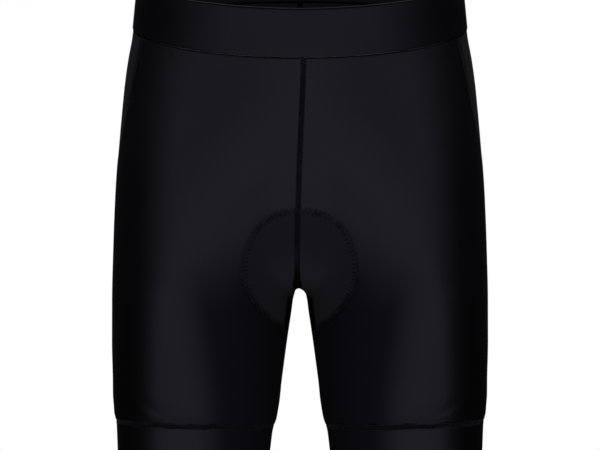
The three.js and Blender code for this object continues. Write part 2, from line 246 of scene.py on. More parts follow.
def smooth_min(a, b, reach):
    h = np.maximum(reach - np.abs(a - b), 0) / reach
    return np.minimum(a, b) - h * h * h * reach / 6


def soft_power(t, power):
    rest = SOFTNESS**power
    top = (t * t + SOFTNESS**2) ** (power / 2) - rest
    return top / ((1 + SOFTNESS**2) ** (power / 2) - rest)


def lobe(x, y, section):
    dx = x - section.ridge
    dy = y - section.mid
    a = np.where(dx > 0, section.outer - section.ridge, section.ridge - section.gap)
    b = np.where(dy < 0, section.mid - section.front, section.back - section.mid)
    outer_power = np.where(dy < 0, section.round, BACK_ROUNDNESS)
    power = np.where(dx > 0, outer_power, blend(outer_power, INNER_ROUNDNESS, section.leg_share))
    share = (soft_power(dx / a, power) + soft_power(dy / b, power)) ** (1 / power)
    r = np.hypot(dx, dy)
    return r - r / np.maximum(share, TINY)


def seat_lobe(x, y, z):
    dy = y - SEAT_MID
    dz = z - SEAT_LEVEL
    b = np.where(dy < 0, SEAT_FRONT, SEAT_BACK)
    c = np.where(dz < 0, SEAT_DROP, SEAT_RISE)
    p = SEAT_ROUNDNESS
    share = (np.abs(x / SEAT_HALF) ** p + np.abs(dy / b) ** p + np.abs(dz / c) ** p) ** (1 / p)
    r = np.sqrt(x * x + dy * dy + dz * dz)
    return r - r / np.maximum(share, TINY)


def form_in(section, x, y, z):
    legs = smooth_min(lobe(x, y, section), lobe(-x, y, section), LEGS_BLEND)
    return smooth_min(legs, seat_lobe(x, y, z), SEAT_BLEND)


def form(p):
    """Below zero inside the filled-out shorts, and about the distance outside them."""
    return form_in(Section(p[..., 2]), p[..., 0], p[..., 1], p[..., 2])


def slope_of(p):
    parts = []
    for axis in range(3):
        step = np.zeros(3)
        step[axis] = SLOPE_REACH
        parts.append((form(p + step) - form(p - step)) / (2 * SLOPE_REACH))
    return np.stack(parts, -1)


def unit(v):
    return v / np.linalg.norm(v, axis=-1, keepdims=True)


def outwards(p):
    return unit(slope_of(p))


def onto_form(p, rounds=3):
    for _ in range(rounds):
        slope = slope_of(p)
        p = p - slope * (form(p) / (slope * slope).sum(-1))[..., None]
    return p


def halve(value, low, high):
    """The place between low and high where value crosses zero, for whole arrays."""
    low, high = np.broadcast_arrays(np.asarray(low, float), np.asarray(high, float))
    low, high = low.copy(), high.copy()
    positive = value(low) > 0
    for _ in range(HALVINGS):
        middle = (low + high) / 2
        same = (value(middle) > 0) == positive
        low = np.where(same, middle, low)
        high = np.where(same, high, middle)
    return (low + high) / 2


def round_point(angle, z):
    """The left half's point at an angle round the ridge, 0 outwards, a half turn inwards, at a height."""
    angle, z = np.broadcast_arrays(np.asarray(angle, float), np.asarray(z, float))
    section = Section(z)
    along, across = np.cos(angle), np.sin(angle)
    to_middle = np.minimum(section.ridge / np.maximum(-along, TINY), FAR_OUT)
    reach = np.where(along < -TINY, to_middle, FAR_OUT)

    def value(r):
        return form_in(section, section.ridge + r * along, section.mid + r * across, z)

    r = np.where(value(reach) <= 0, reach, halve(value, np.full_like(reach, NEAR_RIDGE), reach))
    return np.stack([section.ridge + r * along, section.mid + r * across, z], -1)


def angle_of(p):
    section = Section(p[..., 2])
    return np.arctan2(p[..., 1] - section.mid, p[..., 0] - section.ridge)


def middle_point(turn, x=0.0):
    """The form's point on the plane x, straight out from the seat: turn 0 is forwards, a quarter down."""
    turn = np.asarray(turn, float)
    along = np.stack([np.zeros_like(turn), -np.cos(turn), -np.sin(turn)], -1)
    start = np.array([x, SEAT_MID, SEAT_LEVEL])
    r = halve(lambda distance: form(start + along * distance[..., None]), np.ones_like(turn), FAR_OUT)
    return start + along * r[..., None]


def leg_point(z, y, low, high):
    """The form's point at a height and depth, between two distances from the middle."""
    section = Section(z)
    x = halve(lambda value: form_in(section, value, y, z), low(section), high(section))
    return np.stack([x, y, np.broadcast_to(z, x.shape)], -1)


def inside_point(z, side, seam_half):
    z = np.asarray(z, float)
    return leg_point(z, Section(z).mid + side * seam_half, lambda s: 0 * s.ridge, lambda s: s.ridge)


def side_point(z, side, seam_half):
    z = np.asarray(z, float)
    y = Section(z).seam + side * seam_half
    return leg_point(z, y, lambda s: s.ridge, lambda s: 0 * s.ridge + FAR_OUT)


def waist_level(p):
    return p[..., 2] - WAIST_SLOPE * p[..., 1]


def leg_level(p):
    return p[..., 2] - LEG_SEAM_TILT * (np.abs(p[..., 0]) - LEG_MIDDLE)


class Path:
    """A curve on the form, whose points can be asked for by their length along it."""

    def __init__(self, point_at, start, end, steps=400):
        self.point_at = point_at
        self.parameters = np.linspace(start, end, steps + 1)
        self.lengths = lengths_along(point_at(self.parameters))
        self.total = self.lengths[-1]

    def at(self, lengths):
        return self.point_at(np.interp(lengths, self.lengths, self.parameters))


def unevenly(along, pitch, start):
    """A wave from -1 to 1 whose spacing and height keep changing, as hand-guided sewing leaves it."""
    turn = 2 * math.pi / pitch
    bend = SPACING_CHANGE * np.sin(turn * along / SPACING_WAVES + 2 * start)
    height = 1 - HEIGHT_CHANGE + HEIGHT_CHANGE * np.sin(turn * along / HEIGHT_WAVES + 3 * start)
    return height * np.sin(turn * along + start + bend)


def line_distances(points, line):
    """For each point: its distance from a line of points, its length along it, and the nearest index."""
    lengths = lengths_along(line)
    tangent = unit(np.gradient(line, axis=0))
    flat = points.reshape(-1, 3)
    nearest = np.empty(len(flat), int)
    for i in range(0, len(flat), POINTS_AT_ONCE):
        away = flat[i : i + POINTS_AT_ONCE, None, :] - line[None, :, :]
        nearest[i : i + POINTS_AT_ONCE] = np.einsum("ijk,ijk->ij", away, away).argmin(1)
    away = flat - line[nearest]
    forwards = (away * tangent[nearest]).sum(-1)
    distance = np.linalg.norm(away - forwards[:, None] * tangent[nearest], axis=-1)
    shape = points.shape[:-1]
    along = lengths[nearest] + forwards
    return distance.reshape(shape), along.reshape(shape), nearest.reshape(shape)


def seam_edges(side, seam_half):
    """The seams at the inner edge of a left panel: from the waist to the crotch, then down the leg."""
    sizes = bpy.context.scene.shorts_sizes
    quarter = math.pi / 2
    start_turn = -WAIST_TURN if side < 0 else math.pi + WAIST_TURN
    top = -sizes.waistband_height / MM / 2 - seam_half
    start = halve(
        lambda turn: waist_level(middle_point(turn, seam_half)) - top,
        [start_turn],
        quarter - side * CROTCH_SPREAD,
    )[0]
    end = halve(
        lambda turn: (middle_point(turn, seam_half)[..., 1] - SEAT_MID) * side - seam_half,
        [quarter + side * CROTCH_SPREAD],
        quarter,
    )[0]
    middle = Path(lambda turn: middle_point(turn, seam_half), start, end)
    crotch = middle.at(middle.total)[2]
    bottom = halve(
        lambda z: leg_level(inside_point(z, side, seam_half)) - LEG_SEAM - seam_half,
        [crotch - BELOW_CROTCH],
        LEG_SEAM - BELOW_HEM,
    )[0]
    inside = Path(lambda share: inside_point(blend(crotch, bottom, share**2), side, seam_half), 0.0, 1.0)
    return middle, inside


def finer_ends(share, strength):
    """Steps from 0 to 1 that are closer together near both ends."""
    return blend(share, smooth_step(share, 0, 1), strength)


def panel_grid(side, above, below, columns, seam_half):
    """Points of a left panel on the form: a row for each height, from the side seam to the inner edge."""
    sizes = bpy.context.scene.shorts_sizes
    middle, inside = seam_edges(side, seam_half)
    high = finer_ends(np.linspace(0, 1, above + 1), ENDS_OF_ROWS)
    low = np.linspace(0, 1, below + 1)[1:]
    high_length = middle.total * (1 - (1 - high) ** ROWS_TO_CROTCH)
    low_length = inside.total * low * low * (3 - 2 * low)
    end = np.concatenate([middle.at(high_length), inside.at(low_length)])
    from_crotch = np.concatenate([middle.total - high_length, low_length])
    waist = -sizes.waistband_height / MM / 2 - seam_half
    side_level = np.concatenate(
        [
            blend(waist, CROTCH_SIDE_LEVEL, high),
            blend(CROTCH_SIDE_LEVEL, LEG_SEAM + seam_half, 1 - (1 - low) ** ROWS_TO_HEM),
        ]
    )
    waist_share = np.concatenate([(1 - high) ** 2, 0 * low])
    leg_share = np.concatenate([0 * high, low**2])

    def tilt(p, waist_part, leg_part):
        return WAIST_SLOPE * waist_part * p[..., 1] + LEG_SEAM_TILT * leg_part * (p[..., 0] - LEG_MIDDLE)

    start = side_point(side_level, side, seam_half)
    for _ in range(TILT_ROUNDS):
        start = side_point(side_level + tilt(start, waist_share, leg_share), side, seam_half)
    start_angle = angle_of(start)
    end_angle = side * np.abs(angle_of(end))
    end_level = end[:, 2] - tilt(end, waist_share, leg_share)
    dip = DIP_DEPTH * near(from_crotch, DIP_REACH)
    share = np.linspace(0, 1, columns + 1)[None, 1:-1]
    turned = finer_ends(share, ENDS_OF_COLUMNS)
    angle = blend(start_angle[:, None], end_angle[:, None], turned)
    level = blend(side_level[:, None], end_level[:, None], turned)
    level = level - dip[:, None] * DIP_PEAK * turned**4 * (1 - turned)
    p = round_point(angle, level)
    for _ in range(TILT_ROUNDS):
        p = round_point(angle, level + tilt(p, waist_share[:, None], leg_share[:, None]))
    return np.concatenate([start[:, None], p, end[:, None]], axis=1)


def mirrored(p, half):
    return p * np.array([half, 1.0, 1.0])


def walk(start, sideways, distance, steps=48):
    """Walks straight over the form from each start, for the distances given, and gives where it ends."""
    p = start
    heading = np.broadcast_to(sideways, start.shape)
    for _ in range(steps):
        away = outwards(p)
        heading = unit(heading - away * (heading * away).sum(-1, keepdims=True))
        p = onto_form(p + heading * (distance / steps)[..., None], 1)
    return onto_form(p), heading


def pad_middle():
    tip = halve(lambda turn: middle_point(turn)[..., 2] - PAD_TIP_HEIGHT, [TIP_FROM], TIP_TO)[0]
    return Path(middle_point, tip, PAD_END_TURN)


def eased(count):
    """Shares from 0 to 1 that are closer together at both ends."""
    return 0.5 - 0.5 * np.cos(np.linspace(0, math.pi, count))


def pad_outline(points=150):
    """The pad's outline on the form: from its front tip down its left side, then up its right."""
    middle = pad_middle()
    along = PAD_LENGTH * eased(points)
    left, _ = walk(middle.at(along), ASIDE, np.maximum(PAD_HALF(along), 0.0))
    line = evenly_spaced(left, OUTLINE_POINTS)
    return np.concatenate([line, mirrored(line[::-1][1:-1], -1)])


def evenly_spaced(line, count):
    lengths = lengths_along(line)
    wanted = np.linspace(0, lengths[-1], count)
    return np.stack([np.interp(wanted, lengths, line[:, axis]) for axis in range(3)], -1)


# Colours, as linear red, green and blue
BLACK = (0.0009, 0.0008, 0.0013)
SOOT = (0.0083, 0.0077, 0.0118)
GRAPHITE = (0.0205, 0.0193, 0.0258)
CHARCOAL = (0.0250, 0.0236, 0.0315)
SLATE = (0.0370, 0.0352, 0.0440)
PALE = (0.86, 0.86, 0.86)
DUSTY = (0.8, 0.8, 0.8)
WHITE = (1.0, 1.0, 1.0)


def length_setting(name, description, default):
    return bpy.props.FloatProperty(name=name, description=description, default=default, unit="LENGTH")


def colour_setting(name, description, default):
    return bpy.props.FloatVectorProperty(
        name=name, description=description, default=default, subtype="COLOR"
    )


class ShortsSizes(bpy.types.PropertyGroup):
    """Sizes of the cut, as a maker would change them"""

    waistband_height: length_setting("Waistband height", "Height of the doubled waistband", 0.045)
    leg_band_height: length_setting("Leg band height", "Height of the band round each leg", 0.055)
    cloth_wall: length_setting("Cloth wall", "Thickness of the stretch knit", 0.0012)
    pad_thickness: length_setting("Pad thickness", "Thickness of the seat pad in its middle", 0.0065)
    seam_width: length_setting("Seam width", "Width of the flat seams' stitching", 0.0048)
    stitch_length: length_setting("Stitch length", "Length of one stitch of a flat seam", 0.0024)
    thread_radius: length_setting("Thread radius", "Half thickness of the sewing thread", 0.00022)


class ShortsColours(bpy.types.PropertyGroup):
    """Colours of the cloths and threads"""

    stretched: colour_setting("Stretched knit", "Colour of the knit under its gloss", BLACK)
    slack: colour_setting("Slack knit", "Colour of the knit where it is matte", CHARCOAL)
    # Painted shade: the knit inside the legs is coloured darker to stand for the shade between them.
    shaded_inner_leg: colour_setting("Inner leg", "Colour of the knit inside the legs", SOOT)
    over_pad: colour_setting("Over the pad", "Colour of the knit where the pad backs it", GRAPHITE)
    # The seam bed's colour is partly the dull pressed cloth under stitching and partly painted shade: in
    # the waist's ditch, at the hems' puckers, under the pad's zigzag, in the pad's gathers and beside the
    # gap between the legs.
    seam_bed: colour_setting("Seam bed", "Colour of the cloth pressed down under stitching", BLACK)
    band: colour_setting("Waistband", "Colour of the elastic waistband", BLACK)
    # The pad's colour also paints light on the knit over the pad's lower part, and glints on the thread.
    pad: colour_setting("Seat pad", "Colour of the pad's brushed cover", SLATE)
    thread: colour_setting("Thread", "Colour of the sewing thread", SOOT)
    floor: colour_setting("Floor", "Colour of the studio floor", PALE)


class Term:
    """A node's output that takes part in Python expressions."""

    def __init__(self, nodes, socket):
        self.nodes = nodes
        self.socket = socket

    def math(self, operation, *others):
        return self.nodes.add("ShaderNodeMath", {"operation": operation}, dict(enumerate((self, *others))))

    def larger(self, other):
        return self.math("MAXIMUM", other)

    def smaller(self, other):
        return self.math("MINIMUM", other)

    def __add__(self, other):
        return self.math("ADD", other)

    def __radd__(self, other):
        return self.math("ADD", other)

    def __sub__(self, other):
        return self.math("SUBTRACT", other)

    def __rsub__(self, other):
        return self.nodes.add("ShaderNodeMath", {"operation": "SUBTRACT"}, {0: other, 1: self})

    def __mul__(self, other):
        return self.math("MULTIPLY", other)

    def __rmul__(self, other):
        return self.math("MULTIPLY", other)

    def __truediv__(self, other):
        return self.math("DIVIDE", other)

    def __neg__(self):
        return self.math("MULTIPLY", -1.0)

    def sine(self):
        return self.math("SINE")

    def size(self):
        return self.math("ABSOLUTE")

    def near(self, reach):
        """1 where this is zero, fading to 0 as it goes past reach."""
        scaled = self / reach
        return (-(scaled * scaled)).math("EXPONENT")

    def between(self, low, high):
        """0 below low, 1 above high, smooth between them."""
        return self.nodes.add(
            "ShaderNodeMapRange",
            {"interpolation_type": "SMOOTHSTEP"},
            {"Value": self, "From Min": low, "From Max": high},
        )


class Nodes:
    """The node tree of a material or of the world."""

    def __init__(self, tree):
        self.tree = tree
        tree.nodes.clear()

    def add(self, kind, settings=None, inputs=None, output=0):
        node = self.tree.nodes.new(kind)
        for name, value in (settings or {}).items():
            setattr(node, name, value)
        for name, value in (inputs or {}).items():
            if isinstance(value, Term):
                self.tree.links.new(value.socket, node.inputs[name])
            else:
                node.inputs[name].default_value = value
        return Term(self, node.outputs[output]) if node.outputs else None

    def parts(self, vector):
        """The three numbers of a vector, as terms."""
        split = self.add("ShaderNodeSeparateXYZ", {}, {0: vector})
        return [Term(self, split.socket.node.outputs[i]) for i in range(3)]

    def attribute(self, name):
        return self.parts(self.add("ShaderNodeAttribute", {"attribute_name": name}, output="Vector"))

    def mix(self, low, high, factor):
        inputs = {0: factor, 6: opaque(low), 7: opaque(high)}
        return self.add("ShaderNodeMix", {"data_type": "RGBA"}, inputs, output=2)

    def place(self):
        return self.add("ShaderNodeTexCoord", output="Object")

    def position(self):
        return self.parts(self.place())

    def noise(self, kind):
        scale, detail = NOISES[kind]
        inputs = {"Vector": self.place(), "Scale": scale, "Detail": detail}
        return self.add("ShaderNodeTexNoise", {}, inputs)

    def bump(self, height):
        """A bump whose height is in millimetres."""
        return self.add("ShaderNodeBump", {}, {"Height": height, "Distance": MM})

    def shader(self, colour, roughness, bump, **fixed):
        """Colour, roughness and bump may change over the surface; the fixed values don't."""
        inputs = {"Base Color": opaque(colour), "Roughness": roughness, "Normal": bump}
        inputs.update({name.replace("_", " "): value for name, value in fixed.items()})
        return self.add("ShaderNodeBsdfPrincipled", {}, inputs)

    def blended(self, first, second, share):
        """Two shaders, and how much of the second there is."""
        return self.add("ShaderNodeMixShader", {}, {0: share, 1: first, 2: second})

    def end(self, shader, kind="ShaderNodeOutputMaterial"):
        self.add(kind, {}, {"Surface": shader})


# Noise of each kind: its scale, in waves to a metre, and its detail
NOISES = {
    "knit mottle": (26.0, 3.0),
    "hem edge": (70.0, 3.0),
    "gathers": (150.0, 2.0),
    "band mottle": (30.0, 3.0),
    "brushed fuzz": (900.0, 3.0),
    "pad mottle": (40.0, 2.0),
    "thread twist": (1500.0, 1.0),
    "thread glints": (110.0, 2.0),
    "floor mottle": (4.0, 2.0),
}

# Roughness of each finish, and how much its mottle adds
ROUGHNESS = {
    "glossy knit": (0.40, 0.05),
    "matte knit": (0.75, 0.10),
    "glossy band": (0.45, 0.05),
    "matte band": (0.80, 0.05),
    "pad": (0.82, 0.08),
    "thread": (0.40, 0.10),
    "floor": (0.70, 0.10),
}

# Grain of each cloth, in millimetres: the width of a wale, the length of a course and the height
GRAINS = {"knit": (0.8, 0.9, 0.012), "band": (1.1, 0.9, 0.015), "pad": (1.6, 1.6, 0.03)}
WALE_SHARE = 0.6
COURSE_SHARE = 0.4
COOL = (0.80, 0.76, 1.0)

# How matte the knit is, from 0 to 1
BACK_MATTE = 0.75
# Inside the legs the matte share goes with the painted shade there.
INNER_LEG_MATTE = 0.94
SEAM_BED_MATTE = 0.95
HIPS_MATTE = 0.80
ROLLED_EDGE_MATTE = 0.94

# Where the knit's look changes, in metres: distances aside or behind, or down from the origin, from and to
# Painted shade inside the legs: its slant, its line, its width and where it starts.
INNER_LEG_SLANT = 0.13
INNER_LEG_LINE = 0.140
INNER_LEG_ASIDE = (-0.022, 0.020)
INNER_LEG_DOWN = (0.220, 0.298)
# Painted light on the knit over the crotch and over the pad's lower part.
CROTCH_ASIDE = (0.010, 0.050)
CROTCH_DOWN = (0.222, 0.272)
LOWER_PAD_DOWN = (0.262, 0.315)
LOWER_PAD_SHARE = 0.8
# Where the painted shade of gathers along the pad's outline is full.
FULL_GATHERS_HEIGHT = (-0.236, -0.212)
FULL_GATHERS_DOWN = (0.262, 0.284)
# Painted shade in a strip beside the gap between the legs: its slant, its line, its width, and where it
# starts and ends.
GAP_SHADE_SLANT = 0.133
GAP_SHADE_LINE = 0.0375
GAP_SHADE_ASIDE = (0.0110, 0.0126)
GAP_SHADE_DOWN = (0.2780, 0.2815)
GAP_SHADE_ENDS = (0.310, 0.326)
HIPS_ASIDE = (0.055, 0.145)
HIPS_BEHIND = (0.0, 0.06)

# Marks of the sewing, in millimetres from its line: from and to, or their reach
# A bed is darkened and matte: partly the pressed cloth under stitching, partly painted shade in the
# waist's ditch and at the hems' puckers.
SEAM_BED = (2.3, 3.0)
HEM_BED = (1.9, 2.6)
WAIST_BED = (0.8, 1.9)
PAD_BACKS = (-1.6, 0.4)
ROLLED_EDGE = (0.9, 2.2)
HEM_WANDER = 7.0
HEM_WANDER_MIDDLE = 0.55
HEM_WANDER_ENDS = (-1.2, 1.3)
BAND_WANDER_SHARE = 0.6
# The dark zigzag painted as the zigzag thread's shadow: its swing and width, then its pull on the bump.
ZIGZAG_SWING = 1.5
ZIGZAG_MARK = 1.8
ZIGZAG_PULL = 0.25
# The painted shade of gathers along the pad's outline: its width and its clumps.
GATHERS_MARK = 2.6
CLUMPS = (0.44, 0.60)
PUCKER_PITCH = 5.1
PUCKER_REACH = 4.0
PUCKER_HEIGHT = 0.10
MOTTLE_SHARE = 0.5
PAD_SHEEN = 0.25
FLOOR_MOTTLE = 0.4
# Painted glints on the thread: where the flecks are, and how light they are.
THREAD_GLINTS = (0.50, 0.62)
GLINT_SHARE = 0.7
TWIST_HEIGHT = 0.05
FUZZ_HEIGHT = 0.1


def opaque(colour):
    """A colour as a node takes it; a term stays as it is."""
    return colour if isinstance(colour, Term) else (*colour, 1.0)


GLOSSY = {"Specular_IOR_Level": 0.5, "Specular_Tint": opaque(COOL)}
MATTE = {"Specular_IOR_Level": 0.12, "Specular_Tint": opaque(COOL)}


def roughness(finish, mottle):
    least, more = ROUGHNESS[finish]
    return least + more * mottle


def new_finish(name):
    material = bpy.data.materials.new(name)
    material.use_nodes = True
    return material, Nodes(material.node_tree), bpy.context.scene.shorts_colours


def waves(length, pitch):
    return (length * (2 * math.pi / pitch)).sine()


def knit_grain(run, cloth):
    """Height of the knit's fine upright wales and level courses, from lengths over the cloth."""
    wale, course, height = GRAINS[cloth]
    return (waves(run[0], wale) * WALE_SHARE + waves(run[1], course) * COURSE_SHARE) * height


def inner_leg_shade_mask(nodes):
    """1 on the inside of the legs, where painted shade darkens and dulls the knit, and 0 elsewhere."""
    x, _, z = nodes.position()
    past_edge = x.size() - z * INNER_LEG_SLANT - INNER_LEG_LINE
    return (1 - past_edge.between(*INNER_LEG_ASIDE)) * (-z).between(*INNER_LEG_DOWN)


def knit_finish(name, own_matte, marks):
    """Black stretch knit: glossy where it is stretched, matte over the pad and at seams, and darker and
    matte inside the legs as painted shade.

    marks gives how much of a place is a seam's bed or painted shade, how much of it the pad backs, and the
    sewing's bump.
    """
    material, nodes, colours = new_finish(name)
    run = nodes.attribute("run")
    mottle = nodes.noise("knit mottle")
    bed, over_pad, pull = marks(nodes, run)
    # Painted shade inside the legs: its mask darkens the matte colour and turns the knit matte.
    leg = inner_leg_shade_mask(nodes)
    shade = nodes.mix(colours.slack, colours.shaded_inner_leg, leg)
    x, _, z = nodes.position()
    # Painted light: the pad-backed knit takes the pad's lighter colour towards the crotch and over the
    # pad's lower part, where the cloth turns away into shade.
    crotch = (1 - x.size().between(*CROTCH_ASIDE)) * (-z).between(*CROTCH_DOWN)
    lighter = crotch.larger((-z).between(*LOWER_PAD_DOWN) * LOWER_PAD_SHARE)
    backed = nodes.mix(colours.over_pad, colours.pad, lighter)
    shade = nodes.mix(shade, backed, over_pad)
    shade = nodes.mix(shade, colours.seam_bed, bed)
    bump = nodes.bump(knit_grain(run, "knit") + pull)
    glossy = nodes.shader(colours.stretched, roughness("glossy knit", mottle), bump, **GLOSSY)
    matte = nodes.shader(shade, roughness("matte knit", mottle), bump, **MATTE)
    dullness = (leg * INNER_LEG_MATTE).larger(over_pad).larger(bed * SEAM_BED_MATTE).larger(own_matte)
    nodes.end(nodes.blended(glossy, matte, dullness))
    return material


def wander(nodes):
    """How unevenly the edge of a hem's darkened bed lies, in millimetres: it paints the shade of the hem's
    puckers.
    """
    least, most = HEM_WANDER_ENDS
    return ((nodes.noise("hem edge") - HEM_WANDER_MIDDLE) * HEM_WANDER).smaller(most).larger(least)


def hem_puckers(run, to_hem):
    return waves(run[0], PUCKER_PITCH) * to_hem.near(PUCKER_REACH) * PUCKER_HEIGHT


def panel_marks(nodes, run):
    to_seam, to_hem, to_waist = nodes.attribute("seams")
    pad, tooth, _ = nodes.attribute("pad_line")
    x, _, z = nodes.position()
    # Painted shade: dark clumps along the pad's outline stand for the shade of gathers there.
    gathered = z.between(*FULL_GATHERS_HEIGHT).larger((-z).between(*FULL_GATHERS_DOWN))
    clumps = nodes.noise("gathers").between(*CLUMPS)
    # Painted shade: a dark zigzag under the pad's zigzag thread stands for its shadow.
    zigzag = (pad - waves(tooth, 1) * ZIGZAG_SWING).near(ZIGZAG_MARK)
    zigzag = zigzag.larger(pad.near(GATHERS_MARK) * gathered * clumps)
    # Painted shade: a dark strip beside the gap between the legs, where the cloth turns away.
    gap_shade = 1 - (x.size() + z * GAP_SHADE_SLANT + GAP_SHADE_LINE).between(*GAP_SHADE_ASIDE)
    gap_shade = gap_shade * (-z).between(*GAP_SHADE_DOWN) * (1 - (-z).between(*GAP_SHADE_ENDS))
    # Painted shade at the hems' puckers, made by the wandering edge of their beds.
    to_sewn = to_seam.smaller(to_hem + wander(nodes))
    bed = (1 - to_sewn.between(*SEAM_BED)).larger(zigzag)
    # Painted shade: the waist's bed is a dark line in its ditch.
    bed = bed.larger(1 - to_waist.between(*WAIST_BED)).larger(gap_shade)
    return bed, 1 - pad.between(*PAD_BACKS), hem_puckers(run, to_hem) - zigzag * ZIGZAG_PULL


def leg_band_marks(nodes, run):
    # Painted shade at the band's puckers, made by the wandering edge of its bed.
    bed = 1 - (run[1] - wander(nodes) * BAND_WANDER_SHARE).between(*HEM_BED)
    return bed, 0.0, hem_puckers(run, run[1])


def front_finish():
    return knit_finish("front_knit", 0.0, panel_marks)


def back_finish():
    return knit_finish("back_knit", BACK_MATTE, panel_marks)


def leg_band_finish():
    return knit_finish("leg_band_knit", 0.0, leg_band_marks)


def waistband_finish():
    """Doubled elastic band: finely ribbed across, and less stretched and duller towards the hips."""
    material, nodes, colours = new_finish("elastic_band")
    run = nodes.attribute("run")
    mottle = nodes.noise("band mottle")
    bump = nodes.bump(knit_grain(run, "band"))
    x, y, _ = nodes.position()
    hips = x.size().between(*HIPS_ASIDE) * (1 - y.between(*HIPS_BEHIND)) * HIPS_MATTE
    rolled = 1 - run[1].smaller(2 * WAISTBAND_PROFILE[-1][0] - run[1]).between(*ROLLED_EDGE)
    glossy = nodes.shader(colours.band, roughness("glossy band", mottle), bump, **GLOSSY)
    matte = nodes.shader(colours.band, roughness("matte band", mottle), bump, **MATTE)
    nodes.end(nodes.blended(glossy, matte, hips.larger(rolled * ROLLED_EDGE_MATTE)))
    return material


def pad_finish():
    """Brushed knit over foam."""
    material, nodes, colours = new_finish("brushed_pad")
    run = nodes.attribute("run")
    fuzz = nodes.noise("brushed fuzz")
    mottle = nodes.noise("pad mottle")
    colour = nodes.mix(colours.pad, colours.slack, MOTTLE_SHARE * mottle)
    bump = nodes.bump(fuzz * FUZZ_HEIGHT + knit_grain(run, "pad"))
    nodes.end(nodes.shader(colour, roughness("pad", mottle), bump, Sheen_Weight=PAD_SHEEN))
    return material


def thread_finish():
    """Twisted polyester thread with a slight shine, and painted glints: lighter flecks in places."""
    material, nodes, colours = new_finish("sewing_thread")
    twist = nodes.noise("thread twist")
    # Painted glints: flecks of the pad's lighter colour on the thread.
    painted_glints = nodes.noise("thread glints").between(*THREAD_GLINTS) * GLINT_SHARE
    colour = nodes.mix(colours.thread, colours.pad, painted_glints)
    colour = nodes.mix(colour, colours.seam_bed, MOTTLE_SHARE * twist)
    nodes.end(nodes.shader(colour, roughness("thread", twist), nodes.bump(twist * TWIST_HEIGHT), **GLOSSY))
    return material


# How finely the scene's cloth is divided. A band's rows: the length of its close ones, and how many others
ROWS_ABOVE = 150
ROWS_BELOW = 76
PANEL_COLUMNS = 132
SEAM_HALF = 0.02
RING_STEPS = 336
WAISTBAND_ROWS = (3.2, 12)
LEG_BAND_ROWS = (3.0, 14)
WELD = 1e-6
SHARP_ANGLE = math.radians(60)

# The front seam isn't quite straight: how far it stands to the wearer's left of the middle, at heights
DRIFT_COLUMNS = ("z", "aside")
SEAM_DRIFT = (
    (-470, 0),
    (-385, 0),
    (-300, 0),
    (-285, -1.4),
    (-273, -2.7),
    (-235, -2.6),
    (-200, -2.0),
    (-150, -0.3),
    (-100, 1.8),
    (-57, 3.3),
    (20, 3.3),
)

# Soft creases pulled by the seams: front (-1) or back (1), from x and z, to x and z, width and depth
CREASES = (
    (-1, 20, -282, 70, -258, 7.0, 0.30),
    (-1, 26, -306, 60, -300, 5.0, 0.30),
    (-1, 150, -372, 120, -392, 7.0, 0.30),
    (-1, 60, -60, 92, -84, 9.0, 0.25),
    (1, 16, -258, 60, -232, 7.0, 0.9),
    (1, 24, -280, 84, -262, 6.5, 1.0),
    (1, 30, -300, 96, -294, 6.0, 0.7),
    (1, 44, -322, 88, -326, 6.0, 0.4),
    (1, 40, -40, 78, -70, 9.0, 0.4),
    (1, 120, -376, 88, -394, 7.0, 0.35),
)


# How the front seam's drift fades with the distance from its middle, and behind the crotch
DRIFT_LEVEL = -273.0
DRIFT_HEIGHT = 34.0
DRIFT_WIDTH = 46.0
DRIFT_BEHIND = 30.0

# Relief of the panels' cloth beside its lines, in millimetres: height, reach to each side and distance
DIPS = {
    "seam": (-0.4, 1.0, 0.0),
    "stitches": (-0.22, 0.7, 2.4),
    "cleft": (-1.5, 2.8, 0.0),
    "fold": (-0.8, 12.0, 0.0),
    "waist": (-1.0, 0.7, 0.0),
    "hem": (-0.5, 1.0, 0.0),
    "pad": (-0.30, 2.2, 0.0),
    "above hem": (0.5, 12.0, 23.0),
}

# Puckers that the sewing leaves beside a line: height, reach, distance, and the waves' pitch and start
PUCKERS = {
    "inner seam": (0.10, 5.0, 5.0, 8.5, 0.7),
    "side seam": (0.08, 5.0, 5.0, 9.5, 1.9),
    "waist": (0.07, 5.0, 4.0, 9.0, 2.3),
    "hem": (0.30, 6.0, 5.0, 12.0, 0.4),
    "waistband": (0.05, 4.0, 3.0, 9.0, 2.3),
    "leg band": (0.10, 3.5, 3.0, 11.0, 0.4),
}
HEM_CLEAR = (2.2, 5.5)
CLEFT_STARTS = (225.0, 268.0)
CLEFT_ENDS = (276.0, 290.0)
FOLD_LEVEL = -268.0
FOLD_NARROWS = 0.42
FOLD_REACH = 6.0
PAD_SWELL = 2.2
PAD_SWELL_ASIDE = (-6.0, 26.0)
PAD_SWELL_UP = (-262.0, -232.0)
INNER_RELIEF = 0.6
PAD_IMPRINT = 0.30
PAD_IMPRINT_EDGE = (-5.0, 3.0)

# A crease's section and length, as shares of its row's width and length; its bow is in millimetres
CREASE_BOW = 3.0
CREASE_BOW_ENDS = (-0.2, 1.2)
TROUGH_WIDTH = 0.5
LIP_HEIGHT = 0.7
LIP_WIDTH = 0.6
CREASE_MIDDLE = 0.45
CREASE_REACH = 0.42


def drifted(p):
    """Moves points over the form by the front seam's drift, less and less away from the seam."""
    aside = TableCurve(DRIFT_COLUMNS, SEAM_DRIFT, "aside")(p[..., 2])
    behind = smooth_step(p[..., 1], SEAT_MID, SEAT_MID + DRIFT_BEHIND)
    share = blend(1.0, near(p[..., 2] - DRIFT_LEVEL, DRIFT_HEIGHT), behind) * near(p[..., 0], DRIFT_WIDTH)
    return onto_form(p + (aside * share)[..., None] * ASIDE)


